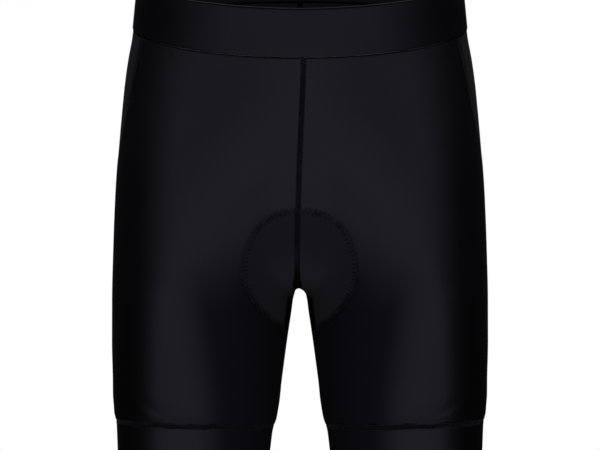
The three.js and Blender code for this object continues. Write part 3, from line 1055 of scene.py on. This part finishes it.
def seam_sink(distance, z):
    """How far the cloth sinks at an inner seam, deeper towards the crotch where the pad folds it."""
    cleft = smooth_step(-z, *CLEFT_STARTS) * (1 - smooth_step(-z, *CLEFT_ENDS))
    return ridge(distance, DIPS["seam"]) + cleft * ridge(distance, DIPS["cleft"])


def puckers(line, distance, along):
    *row, pitch, start = PUCKERS[line]
    return ridge(distance, row) * unevenly(along, pitch, start)


def crease_relief(p, side):
    total = np.zeros(p.shape[:-1])
    x, z = np.abs(p[..., 0]), p[..., 2]
    for row_side, x0, z0, x1, z1, width, depth in CREASES:
        if row_side == side:
            length = math.hypot(x1 - x0, z1 - z0)
            along = ((x - x0) * (x1 - x0) + (z - z0) * (z1 - z0)) / length**2
            across = ((z - z0) * (x1 - x0) - (x - x0) * (z1 - z0)) / length
            across = across - CREASE_BOW * np.sin(math.pi * np.clip(along, *CREASE_BOW_ENDS))
            trough = near(across, width * TROUGH_WIDTH)
            lip = LIP_HEIGHT * near(across - width, width * LIP_WIDTH)
            total -= depth * (trough - lip) * near(along - CREASE_MIDDLE, CREASE_REACH)
    return total


def swell(p, to_pad):
    """How far the pad, and the stretch above the hems, push the cloth out from the form."""
    z = p[..., 2]
    padded = PAD_SWELL * (1 - smooth_step(to_pad, *PAD_SWELL_ASIDE)) * smooth_step(z, *PAD_SWELL_UP)
    return padded + ridge(leg_level(p) - LEG_SEAM, DIPS["above hem"])


def panel_relief(p, side, to_side, to_inner, to_waist, to_leg, to_pad, run):
    """How far a panel's cloth stands from the form, in millimetres."""
    relief = seam_sink(to_inner[0], p[..., 2]) + ridge(to_side[0], DIPS["seam"])
    relief += ridge(to_inner[0], DIPS["stitches"]) + ridge(to_side[0], DIPS["stitches"])
    relief += puckers("inner seam", *to_inner[:2]) + puckers("side seam", *to_side[:2])
    relief += ridge(to_waist, DIPS["waist"]) + ridge(to_leg, DIPS["hem"])
    relief += puckers("waist", to_waist, run[..., 0])
    relief += smooth_step(to_leg, *HEM_CLEAR) * puckers("hem", to_leg, run[..., 0])
    relief += PAD_IMPRINT * (1 - smooth_step(to_pad[0], *PAD_IMPRINT_EDGE)) + ridge(to_pad[0], DIPS["pad"])
    return relief + crease_relief(p, side)


def pad_distances(p, outline):
    """Distance from the pad's stitched outline, below zero inside it, and the length along it."""
    distance, along, nearest = line_distances(p, outline)
    closed = np.concatenate([outline[-1:], outline, outline[:1]])
    away = unit(np.cross(outwards(outline), closed[2:] - closed[:-2]))
    outside = ((p - outline[nearest]) * away[nearest]).sum(-1) > 0
    return np.where(outside, distance, -distance), along


def teeth_pitch(outline):
    """Length of one tooth of the zigzag, so that a whole number of them goes round the pad's outline."""
    total = line_length(np.concatenate([outline, outline[:1]]))
    return total / round(total / ZIGZAG_PITCH)


def line_length(line):
    return np.linalg.norm(np.diff(line, axis=0), axis=1).sum()


def store(mesh, label, domain, values):
    """Keeps values on a mesh for its material to read."""
    full = np.zeros((len(values), 3), np.float32)
    full[:, : values.shape[-1]] = values
    mesh.attributes.new(label, "FLOAT_VECTOR", domain).data.foreach_set("vector", full.ravel())


def grid_piece(name, outer, run, inner=None, over_points=None):
    """A mesh from a bmesh grid: points outer[row, column], and a second layer behind them from inner.

    Without a second layer the grid is a closed ring, whose ends are welded.
    """
    rows, columns = outer.shape[:2]
    bm = bmesh.new()
    bmesh.ops.create_grid(bm, x_segments=columns - 1, y_segments=rows - 1, size=1.0)
    if inner is not None:
        twin = bmesh.ops.duplicate(bm, geom=bm.verts[:] + bm.edges[:] + bm.faces[:])["geom"]
        points = [part for part in twin if isinstance(part, bmesh.types.BMVert)]
        faces = [part for part in twin if isinstance(part, bmesh.types.BMFace)]
        bmesh.ops.translate(bm, verts=points, vec=(0, 0, -1))
        bmesh.ops.reverse_faces(bm, faces=faces)
        bmesh.ops.bridge_loops(bm, edges=[edge for edge in bm.edges if edge.is_boundary])
    mesh = bpy.data.meshes.new(name)
    bm.to_mesh(mesh)
    flat = positions(mesh)
    column = np.rint((flat[:, 0] + 1) / 2 * (columns - 1)).astype(int)
    row = np.rint((flat[:, 1] + 1) / 2 * (rows - 1)).astype(int)
    place = outer[row, column]
    if inner is not None:
        place = np.where(flat[:, 2:] < -0.5, inner[row, column], place)
    mesh.vertices.foreach_set("co", (place * MM).astype(np.float32).ravel())
    corner = np.empty(len(mesh.loops), int)
    mesh.loops.foreach_get("vertex_index", corner)
    store(mesh, "run", "CORNER", run[row, column][corner])
    for label, values in (over_points or {}).items():
        store(mesh, label, "POINT", values[row, column])
    if inner is None:
        bm.clear()
        bm.from_mesh(mesh)
        bmesh.ops.remove_doubles(bm, verts=bm.verts, dist=WELD)
        bm.to_mesh(mesh)
    bm.free()
    turn_outwards(mesh)
    mesh.shade_smooth()
    mesh.set_sharp_from_angle(angle=SHARP_ANGLE)
    return placed(name, mesh)


def positions(mesh):
    flat = np.empty(len(mesh.vertices) * 3)
    mesh.vertices.foreach_get("co", flat)
    return flat.reshape(-1, 3)


def turn_outwards(mesh):
    """Flips all the mesh's faces where they enclose less than nothing."""
    mesh.calc_loop_triangles()
    corners = np.empty(len(mesh.loop_triangles) * 3, int)
    mesh.loop_triangles.foreach_get("vertices", corners)
    a, b, c = positions(mesh)[corners].reshape(-1, 3, 3).swapaxes(0, 1)
    if (a * np.cross(b, c)).sum() < 0:
        mesh.flip_normals()


def placed(name, mesh):
    piece = bpy.data.objects.new(name, mesh)
    bpy.context.scene.collection.objects.link(piece)
    return piece


def dressed(piece, finish_name, make_finish, slot_name, *nodes):
    """Gives a piece its material and its body, and hides the CAD parts that it stands for."""
    piece.data.materials.append(bpy.data.materials.get(finish_name) or make_finish())
    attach(piece, "root")
    if nodes:
        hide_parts(*nodes)


# Panels: their name, front or back, left or right, and their flat cut in metres and square metres
PANELS = (
    ("front_left", -1, 1, (0.235, 0.345), 0.066),
    ("front_right", -1, -1, (0.235, 0.345), 0.066),
    ("back_left", 1, 1, (0.265, 0.39), 0.078),
    ("back_right", 1, -1, (0.265, 0.39), 0.078),
)


class SHORTS_OT_panels(bpy.types.Operator):
    """Builds the four stretch panels with their seams' puckers and the pad's imprint"""

    bl_idname = "shorts.panels"
    bl_label = "Panels"

    def execute(self, context):
        sizes = context.scene.shorts_sizes
        wall = sizes.cloth_wall / MM
        outline = pad_outline()
        shape = (ROWS_ABOVE, ROWS_BELOW, PANEL_COLUMNS, SEAM_HALF)
        grids = {side: panel_grid(side, *shape) for side in (-1, 1)}
        for name, side, half, flat, area in PANELS:
            p = drifted(mirrored(grids[side], half))
            to_side = line_distances(p, p[:, 0])
            to_inner = line_distances(p, p[:, -1])
            to_pad = pad_distances(p, outline)
            run = np.stack([lengths_along(p, 1), lengths_along(p)], -1)
            to_waist = np.maximum(-sizes.waistband_height / MM / 2 - waist_level(p), 0.0)
            to_leg = np.maximum(leg_level(p) - LEG_SEAM, 0.0)
            relief = panel_relief(p, side, to_side, to_inner, to_waist, to_leg, to_pad, run)[..., None]
            away = outwards(p)
            folded = FOLD_NARROWS * near(p[..., 2] - FOLD_LEVEL, FOLD_REACH)
            to_seam = np.minimum(to_side[0], to_inner[0]) * (1 - folded)
            over_points = {
                "seams": np.stack([to_seam, to_leg, to_waist], -1),
                "pad_line": np.stack([to_pad[0], to_pad[1] / teeth_pitch(outline)], -1),
            }
            out = swell(p, to_pad[0])[..., None]
            inner = p + away * (out + np.clip(relief, -INNER_RELIEF, INNER_RELIEF) - wall)
            piece = grid_piece(name + "_cloth", p + away * (out + relief), run, inner, over_points)
            finish = ("front_knit", front_finish) if side < 0 else ("back_knit", back_finish)
            dressed(piece, *finish, "cloth", name)
        return {"FINISHED"}


# The bands' profiles: at lengths down from the top edge, how far each face stands from the form
BAND_COLUMNS = ("down", "outside", "inside")
WAISTBAND_PROFILE = (
    (0.0, -0.35, -0.45),
    (0.08, 0.2, -1.0),
    (0.25, 0.5, -1.3),
    (0.6, 0.7, -1.48),
    (1.2, 0.8, -1.57),
    (3.5, 0.86, -1.6),
    (16, 0.95, -1.6),
    (36, 0.95, -1.6),
    (43, 0.92, -1.6),
    (44.0, 0.8, -1.58),
    (44.6, 0.35, -1.5),
    (44.98, -0.7, -1.2),
)
LEG_BAND_PROFILE = (
    (0.02, -0.5, -1.2),
    (0.7, -0.12, -1.5),
    (2.0, 0.1, -1.65),
    (6, 0.12, -1.7),
    (24, 0.12, -1.7),
    (50, 0.1, -1.7),
    (53, 0.02, -1.65),
    (54.4, -0.2, -1.45),
    (55, -0.75, -0.95),
)


def band_lengths(top, bottom, ends, coarse, fine=7):
    """Lengths down a band, close together at its two edges."""
    edge = ends * np.linspace(0, 1, fine, endpoint=False) ** 2
    middle = np.linspace(top + ends, bottom - ends, coarse)
    return np.concatenate([top + edge, middle, (bottom - edge)[::-1]])


def level_ring(angle, level, level_of):
    """Points at angles round the left half of the form, in a tilted plane at a level."""
    p = round_point(angle, level)
    for _ in range(TILT_ROUNDS + 1):
        p = round_point(angle, p[..., 2] + level - level_of(p))
    return p


def waist_ring(levels):
    """Points all round the form in the waistband's tilted plane, one ring for each level."""

    def from_level(turn):
        return waist_level(middle_point(turn)) - levels

    most = np.full(len(levels), BAND_TURN)
    front = middle_point(halve(from_level, -most, CROTCH_SPREAD))
    back = middle_point(halve(from_level, math.pi + most, math.pi - CROTCH_SPREAD))
    share = np.linspace(0, 1, RING_STEPS // 2 + 1)
    angles = blend(angle_of(front)[:, None], angle_of(back)[:, None], share)
    half = level_ring(angles, levels[:, None], waist_level)
    half[:, 0] = front
    half[:, -1] = back
    return np.concatenate([half, mirrored(half[:, ::-1], -1)[:, 1:-1]], axis=1)


def out_in_plane(p, distance, plane_normal):
    """Moves points out from the form but keeps them in their own tilted plane."""
    away = outwards(p)
    away = unit(away - plane_normal * (away @ plane_normal)[..., None])
    return p + away * distance[..., None]


def band_piece(name, rings, lengths, profile, plane_normal, ripple):
    """A doubled band: its profile goes down the outside and up the inside, all round a ring."""
    rings = np.concatenate([rings, rings[:, :1]], axis=1)
    around = lengths_along(rings, 1)
    outside = TableCurve(BAND_COLUMNS, profile, "outside")(lengths)[:, None]
    inside = TableCurve(BAND_COLUMNS, profile, "inside")(lengths)[:, None]
    wave = ripple(lengths[:, None], around)
    wave[:, -1] = wave[:, 0]
    outer = out_in_plane(rings, outside + wave, plane_normal)
    inner = out_in_plane(rings, inside + 0 * wave, plane_normal)
    down = np.concatenate([lengths, 2 * lengths[-1] - lengths[::-1], [2 * lengths[-1] - lengths[0]]])
    across = np.concatenate([around, around[::-1], around[:1]])
    loop = np.concatenate([outer, inner[::-1], outer[:1]])
    return grid_piece(name, loop, np.stack([across, down[:, None] + 0 * across], -1))


class SHORTS_OT_waistband(bpy.types.Operator):
    """Builds the doubled waistband with its rolled top edge"""

    bl_idname = "shorts.waistband"
    bl_label = "Waistband"

    def execute(self, context):
        height = context.scene.shorts_sizes.waistband_height / MM
        plane_normal = unit(np.array([0.0, -WAIST_SLOPE, 1.0]))
        lengths = band_lengths(0.0, height - SEAM_HALF, *WAISTBAND_ROWS)
        rings = waist_ring(height / 2 - lengths)

        def ripple(down, around):
            return puckers("waistband", height - down, around)

        piece = band_piece("waistband_cloth", rings, lengths, WAISTBAND_PROFILE, plane_normal, ripple)
        dressed(piece, "elastic_band", waistband_finish, "band", "waistband")
        return {"FINISHED"}


class SHORTS_OT_leg_bands(bpy.types.Operator):
    """Builds the tight band round each leg"""

    bl_idname = "shorts.leg_bands"
    bl_label = "Leg bands"

    def execute(self, context):
        height = context.scene.shorts_sizes.leg_band_height / MM
        plane_normal = unit(np.array([-LEG_SEAM_TILT, 0.0, 1.0]))
        angles = np.linspace(-math.pi, math.pi, RING_STEPS * 5 // 7, endpoint=False)[None, :]
        lengths = band_lengths(SEAM_HALF, height, *LEG_BAND_ROWS)
        rings = level_ring(angles, (LEG_SEAM - lengths)[:, None], leg_level)

        def ripple(down, around):
            return puckers("leg band", down, around)

        for side, half in (("left", 1), ("right", -1)):
            name = f"leg_band_{side}"
            normal = mirrored(plane_normal, half)
            ring = mirrored(rings, half)
            piece = band_piece(name + "_cloth", ring, lengths, LEG_BAND_PROFILE, normal, ripple)
            dressed(piece, "leg_band_knit", leg_band_finish, "band", name)
        return {"FINISHED"}


# The seat pad's section, in millimetres
PAD_CLEARANCE = 1.4
PAD_EDGE = 1.6
PAD_GROOVE = 2.2
PAD_GROOVE_HALF = 7.0
PAD_BEVEL = 14.0
PAD_STITCH_DIP = (-0.35, 1.0, 4.5)
PAD_CHANNELS = (62.0, 118.0, 176.0, 236.0)
CHANNEL_DEPTH = 1.1
CHANNEL_REACH = 3.2
CHANNEL_BOW = 0.006
CHANNELS_START = (8.0, 16.0)
WING_DEPTH = 1.3
WING_REACH = 3.4
WING_PLACE = 0.56
WINGS_START = (30.0, 60.0)
WINGS_END = (285.0, 305.0)
PAD_TIP_SHARE = 0.0015
PAD_ROWS = 150
PAD_HALF_COLUMNS = 32
PAD_STEPS = 40


class SHORTS_OT_seat_pad(bpy.types.Operator):
    """Builds the moulded seat pad inside the crotch, with its channels"""

    bl_idname = "shorts.seat_pad"
    bl_label = "Seat pad"

    def execute(self, context):
        sizes = context.scene.shorts_sizes
        along = PAD_LENGTH * blend(PAD_TIP_SHARE, 1 - PAD_TIP_SHARE, eased(PAD_ROWS))
        half = PAD_HALF(along)[:, None]
        share = np.linspace(-1, 1, 2 * PAD_HALF_COLUMNS + 1)
        across = half * blend(share, np.sin(math.pi / 2 * share), 0.5)
        start = np.repeat(pad_middle().at(along)[:, None], len(share), axis=1)
        sideways = (np.sign(across)[..., None] + TINY) * ASIDE
        p, _ = walk(start, sideways, np.abs(across), PAD_STEPS)
        along = along[:, None] + 0 * across
        from_edge = np.minimum(half - np.abs(across), np.minimum(along, PAD_LENGTH - along))
        swell = smooth_step(from_edge, 0.0, PAD_BEVEL)
        thickness = PAD_EDGE + (sizes.pad_thickness / MM - PAD_EDGE) * swell
        thickness -= PAD_GROOVE * near(across, PAD_GROOVE_HALF) * swell
        wing = near(np.abs(across) - WING_PLACE * half, WING_REACH) * smooth_step(along, *WINGS_START)
        thickness -= WING_DEPTH * wing * swell * (1 - smooth_step(along, *WINGS_END))
        for crossing in PAD_CHANNELS:
            bowed = along - crossing - CHANNEL_BOW * across**2
            channel = CHANNEL_DEPTH * near(bowed, CHANNEL_REACH) * swell
            thickness -= channel * smooth_step(np.abs(across), *CHANNELS_START)
        thickness += ridge(from_edge, PAD_STITCH_DIP)
        away = outwards(p)
        base = sizes.cloth_wall / MM + PAD_CLEARANCE
        inner = p - away * (base + thickness)[..., None]
        piece = grid_piece("seat_pad_foam", p - away * base, np.stack([across, along], -1), inner)
        dressed(piece, "brushed_pad", pad_finish, "pad", "seat_pad")
        return {"FINISHED"}


# Flat seams: points along one stitch of each kind of thread, and lengths in millimetres
LOOP_POINTS = 6
ROW_POINTS = 4
SEAM_ROWS = 300
CLEAR_OF_PAD = 99.0
THREAD_HEIGHT = 0.20
CROSSING_HEIGHT = 0.08
LOOP_UNEVEN = 0.06
LOOP_WAVES = (7.0, 1.0)
DIVE_DEPTH = 0.34
DIVE_LENGTH = 0.16
JOIN_DEPTH = 0.3
WAIST_JOIN = -1.1


def threads_piece(name, strokes, radius):
    """Sewing thread as thin tubes along strokes, which are arrays of points in millimetres."""
    curve = bpy.data.curves.new(name, "CURVE")
    curve.dimensions = "3D"
    curve.bevel_depth = radius
    curve.bevel_resolution = 0
    curve.use_fill_caps = True
    for stroke in strokes:
        spline = curve.splines.new("POLY")
        spline.points.add(len(stroke) - 1)
        spline.points.foreach_set("co", np.append(stroke * MM, np.ones((len(stroke), 1)), axis=1).ravel())
    holder = placed(name, curve)
    mesh = bpy.data.meshes.new_from_object(holder.evaluated_get(bpy.context.evaluated_depsgraph_get()))
    bpy.data.objects.remove(holder)
    bpy.data.curves.remove(curve)
    mesh.name = name
    mesh.shade_smooth()
    return placed(name, mesh)


def beside(line, aside, height):
    """Points beside a line on the form, a distance to its left and a height above the form."""
    tangent = unit(np.gradient(line, axis=0))
    sideways = unit(np.cross(outwards(line), tangent))
    p = onto_form(line + sideways * aside[:, None])
    return p + outwards(p) * height[:, None]


def flat_seam(line, sink, width, pitch, closed=False):
    """Threads of a flat seam: a looped cover, two rows of straight stitches and one in the join."""
    if closed:
        line = np.concatenate([line, line[:1]])
    loops = round(line_length(line) / pitch)
    turn = np.linspace(0, loops, loops * LOOP_POINTS + 1)
    swing = width / 2 * np.sin(2 * math.pi * turn) * (1 + LOOP_UNEVEN * unevenly(turn, *LOOP_WAVES))
    fine = evenly_spaced(line, len(turn))
    height = THREAD_HEIGHT + sink(np.abs(swing), fine) + CROSSING_HEIGHT * np.cos(4 * math.pi * turn)
    strokes = [beside(fine, swing, height)]
    turn = np.linspace(0, loops, loops * ROW_POINTS + 1)
    fine = evenly_spaced(line, len(turn))
    dive = THREAD_HEIGHT - DIVE_DEPTH * near((turn + 0.5) % 1.0 - 0.5, DIVE_LENGTH)
    for aside in (-width / 2, width / 2):
        offset = np.full(len(turn), aside)
        strokes.append(beside(fine, offset, dive + sink(np.abs(offset), fine)))
    middle = np.zeros(len(turn))
    strokes.append(beside(fine, middle, sink(middle, fine) - JOIN_DEPTH))
    return strokes


class SHORTS_OT_seams(bpy.types.Operator):
    """Sews the panels to each other and to the bands with flat seams"""

    bl_idname = "shorts.seams"
    bl_label = "Flat seams"

    def execute(self, context):
        sizes = context.scene.shorts_sizes
        width, pitch = sizes.seam_width / MM, sizes.stitch_length / MM
        front = panel_grid(-1, SEAM_ROWS, SEAM_ROWS // 2, 2, 0.0)
        back = panel_grid(1, SEAM_ROWS, SEAM_ROWS // 2, 2, 0.0)
        outline = pad_outline()

        def sunk(distance, line):
            folded = seam_sink(distance, line[:, 2]) + ridge(line[:, 2] - FOLD_LEVEL, DIPS["fold"])
            return folded + swell(line, pad_distances(line, outline)[0])

        def shallow(distance, line):
            return swell(line, np.full(len(line), CLEAR_OF_PAD)) + ridge(distance, DIPS["seam"])

        strokes = flat_seam(drifted(front[: SEAM_ROWS + 1, -1]), sunk, width, pitch)
        strokes += flat_seam(drifted(back[: SEAM_ROWS + 1, -1]), sunk, width, pitch)
        self.sew("middle_seams_thread", strokes)
        for side, half in (("left", 1), ("right", -1)):
            strokes = flat_seam(drifted(mirrored(front[:, 0], half)), shallow, width, pitch)
            strokes += flat_seam(drifted(mirrored(front[SEAM_ROWS:, -1], half)), sunk, width, pitch)
            self.sew(f"{side}_seams_thread", strokes)
            angles = np.linspace(-math.pi, math.pi, SEAM_ROWS, endpoint=False)
            ring = level_ring(angles, LEG_SEAM + 0 * angles, leg_level)
            strokes = flat_seam(mirrored(ring, half), shallow, width, pitch, closed=True)
            self.sew(f"{side}_hem_thread", strokes)
        waist = waist_ring(np.array([-sizes.waistband_height / MM / 2]))[0]
        waist = np.concatenate([waist, waist[:1]])
        join = beside(waist, np.zeros(len(waist)), np.full(len(waist), WAIST_JOIN))
        self.sew("waist_seam_thread", [join])
        return {"FINISHED"}

    def sew(self, name, strokes):
        piece = threads_piece(name, strokes, bpy.context.scene.shorts_sizes.thread_radius)
        dressed(piece, "sewing_thread", thread_finish, "cloth")


class SHORTS_OT_pad_stitching(bpy.types.Operator):
    """Sews the seat pad's outline through the panels with a broad zigzag"""

    bl_idname = "shorts.pad_stitching"
    bl_label = "Pad stitching"

    def execute(self, context):
        outline = pad_outline()
        line = np.concatenate([outline, outline[:1]])
        teeth = round(line_length(line) / ZIGZAG_PITCH)
        turn = np.linspace(0, teeth, teeth * TOOTH_POINTS + 1)
        fine = evenly_spaced(line, len(turn))
        saw = np.arcsin(TOOTH_SHARPNESS * np.sin(2 * math.pi * turn)) / math.asin(TOOTH_SHARPNESS)
        strokes = []
        for shift in ZIGZAG_STRANDS:
            uneven = 1 + ZIGZAG_UNEVEN * unevenly(turn, ZIGZAG_WAVES, shift)
            swing = ZIGZAG_WIDTH / 2 * saw * uneven + shift
            dive = TOOTH_DIVE * near(1 - np.abs(saw), TOOTH_TIP)
            height = ZIGZAG_HEIGHT + ridge(swing, DIPS["pad"]) - dive
            strokes.append(beside(fine, swing, height + swell(fine, swing)))
        radius = ZIGZAG_THICKER * context.scene.shorts_sizes.thread_radius
        piece = threads_piece("pad_outline_thread", strokes, radius)
        dressed(piece, "sewing_thread", thread_finish, "cloth")
        return {"FINISHED"}


# The zigzag round the pad, in millimetres
ZIGZAG_PITCH = 4.4
ZIGZAG_WIDTH = 4.4
ZIGZAG_STRANDS = (-0.32, 0.32)
ZIGZAG_HEIGHT = 0.16
ZIGZAG_UNEVEN = 0.07
ZIGZAG_WAVES = 9.0
ZIGZAG_THICKER = 1.15
TOOTH_POINTS = 8
TOOTH_SHARPNESS = 0.96
TOOTH_DIVE = 0.30
TOOTH_TIP = 0.12

# Studio, in metres
CAMERA_DISTANCE = 3.0
CAMERA_HEIGHT = -0.2116
CAMERA_LENS = 187.5
CAMERA_SENSOR = 36.0
FLOOR_LEVEL = -0.64
FLOOR_RADIUS = 2.8
FLOOR_FADE = (0.7, 1.5)

# Soft light of the room: how far round from the front and how high above level it is brightest, how far it
# reaches each way, and how strongly it shines. Angles are in degrees.
ROOM_LIGHTS = (
    (0, -4, 53, 15, 0.50),
    (0, -34, 58, 26, 0.17),
    (28, 24, 34, 12, 0.22),
    (66, 22, 14, 17, 0.38),
    (180, 34, 30, 16, 0.45),
    (180, 66, 60, 22, 3.4),
    (0, 72, 120, 22, 0.7),
    (0, -64, 200, 18, 0.35),
)
ROOM_FADE = 9.0
ROOM_DIM = 0.006


class SHORTS_OT_stage(bpy.types.Operator):
    """Sets the camera, the soft studio light and the pale floor"""

    bl_idname = "shorts.stage"
    bl_label = "Stage"

    def execute(self, context):
        camera = bpy.data.cameras.new("camera")
        camera.lens = CAMERA_LENS
        camera.sensor_width = CAMERA_SENSOR
        holder = placed("camera", camera)
        holder.location = (0.0, -CAMERA_DISTANCE, CAMERA_HEIGHT)
        holder.rotation_euler = (math.radians(90), 0.0, 0.0)
        context.scene.camera = holder
        self.light_room(context)
        bm = bmesh.new()
        bmesh.ops.create_circle(bm, cap_ends=True, segments=96, radius=FLOOR_RADIUS)
        bmesh.ops.translate(bm, verts=bm.verts, vec=(0.0, 0.0, FLOOR_LEVEL))
        mesh = bpy.data.meshes.new("floor")
        bm.to_mesh(mesh)
        bm.free()
        floor = placed("floor", mesh)
        floor.data.materials.append(floor_finish())
        floor.visible_glossy = False
        floor.visible_diffuse = False
        context.scene.view_settings.view_transform = "Standard"
        return {"FINISHED"}

    def light_room(self, context):
        """The room is white to the camera; what it lights the shorts with comes from soft bright areas."""
        world = bpy.data.worlds.new("studio")
        world.use_nodes = True
        context.scene.world = world
        nodes = Nodes(world.node_tree)
        x, y, z = nodes.parts(nodes.add("ShaderNodeTexCoord", output="Generated"))
        degrees = 180 / math.pi
        around = x.math("ARCTAN2", -y).size() * degrees
        up = z.math("ARCSINE") * degrees
        brightness = ROOM_DIM
        for centre, height, round_reach, up_reach, strength in ROOM_LIGHTS:
            beside = (around - centre).size().between(round_reach - ROOM_FADE, round_reach + ROOM_FADE)
            above = (up - height).size().between(up_reach - ROOM_FADE, up_reach + ROOM_FADE)
            brightness = brightness + (1 - beside) * (1 - above) * strength
        seen = nodes.add("ShaderNodeLightPath", output="Is Camera Ray")
        strength = brightness * (1 - seen) + seen
        inputs = {"Strength": strength, "Color": opaque(WHITE)}
        nodes.end(nodes.add("ShaderNodeBackground", {}, inputs), "ShaderNodeOutputWorld")


def floor_finish():
    """Pale matte floor with a very slight mottle, which fades into the white of the room."""
    material, nodes, colours = new_finish("floor")
    mottle = nodes.noise("floor mottle")
    colour = nodes.mix(colours.floor, DUSTY, mottle * FLOOR_MOTTLE)
    x, y, _ = nodes.position()
    faded = (x * x + y * y).math("SQRT").between(*FLOOR_FADE)
    floor = nodes.shader(colour, roughness("floor", mottle), nodes.bump(mottle * FUZZ_HEIGHT))
    white = nodes.add("ShaderNodeEmission", {}, {"Color": opaque(WHITE)})
    nodes.end(nodes.blended(floor, white, faded))
    return material


class SHORTS_PT_sidebar(bpy.types.Panel):
    """Lists the shorts' operators, sizes and colours"""

    bl_idname = "SHORTS_PT_sidebar"
    bl_label = "Cycling shorts"
    bl_space_type = "VIEW_3D"
    bl_region_type = "UI"
    bl_category = "Shorts"

    def draw(self, context):
        for operator in OPERATORS:
            self.layout.operator(operator.bl_idname)
        for values in (context.scene.shorts_sizes, context.scene.shorts_colours):
            for name in values.__annotations__:
                self.layout.prop(values, name)


OPERATORS = (
    SHORTS_OT_stage,
    SHORTS_OT_waistband,
    SHORTS_OT_panels,
    SHORTS_OT_leg_bands,
    SHORTS_OT_seat_pad,
    SHORTS_OT_seams,
    SHORTS_OT_pad_stitching,
)
CLASSES = (ShortsSizes, ShortsColours, *OPERATORS, SHORTS_PT_sidebar)


def register():
    for cls in CLASSES:
        bpy.utils.register_class(cls)
    bpy.types.Scene.shorts_sizes = bpy.props.PointerProperty(type=ShortsSizes)
    bpy.types.Scene.shorts_colours = bpy.props.PointerProperty(type=ShortsColours)


def unregister():
    del bpy.types.Scene.shorts_colours
    del bpy.types.Scene.shorts_sizes
    for cls in reversed(CLASSES):
        bpy.utils.unregister_class(cls)


def main():
    register()
    bpy.ops.shorts.stage()
    bpy.ops.shorts.waistband()
    bpy.ops.shorts.panels()
    bpy.ops.shorts.leg_bands()
    bpy.ops.shorts.seat_pad()
    bpy.ops.shorts.seams()
    bpy.ops.shorts.pad_stitching()


if __name__ == "__main__":
    main()
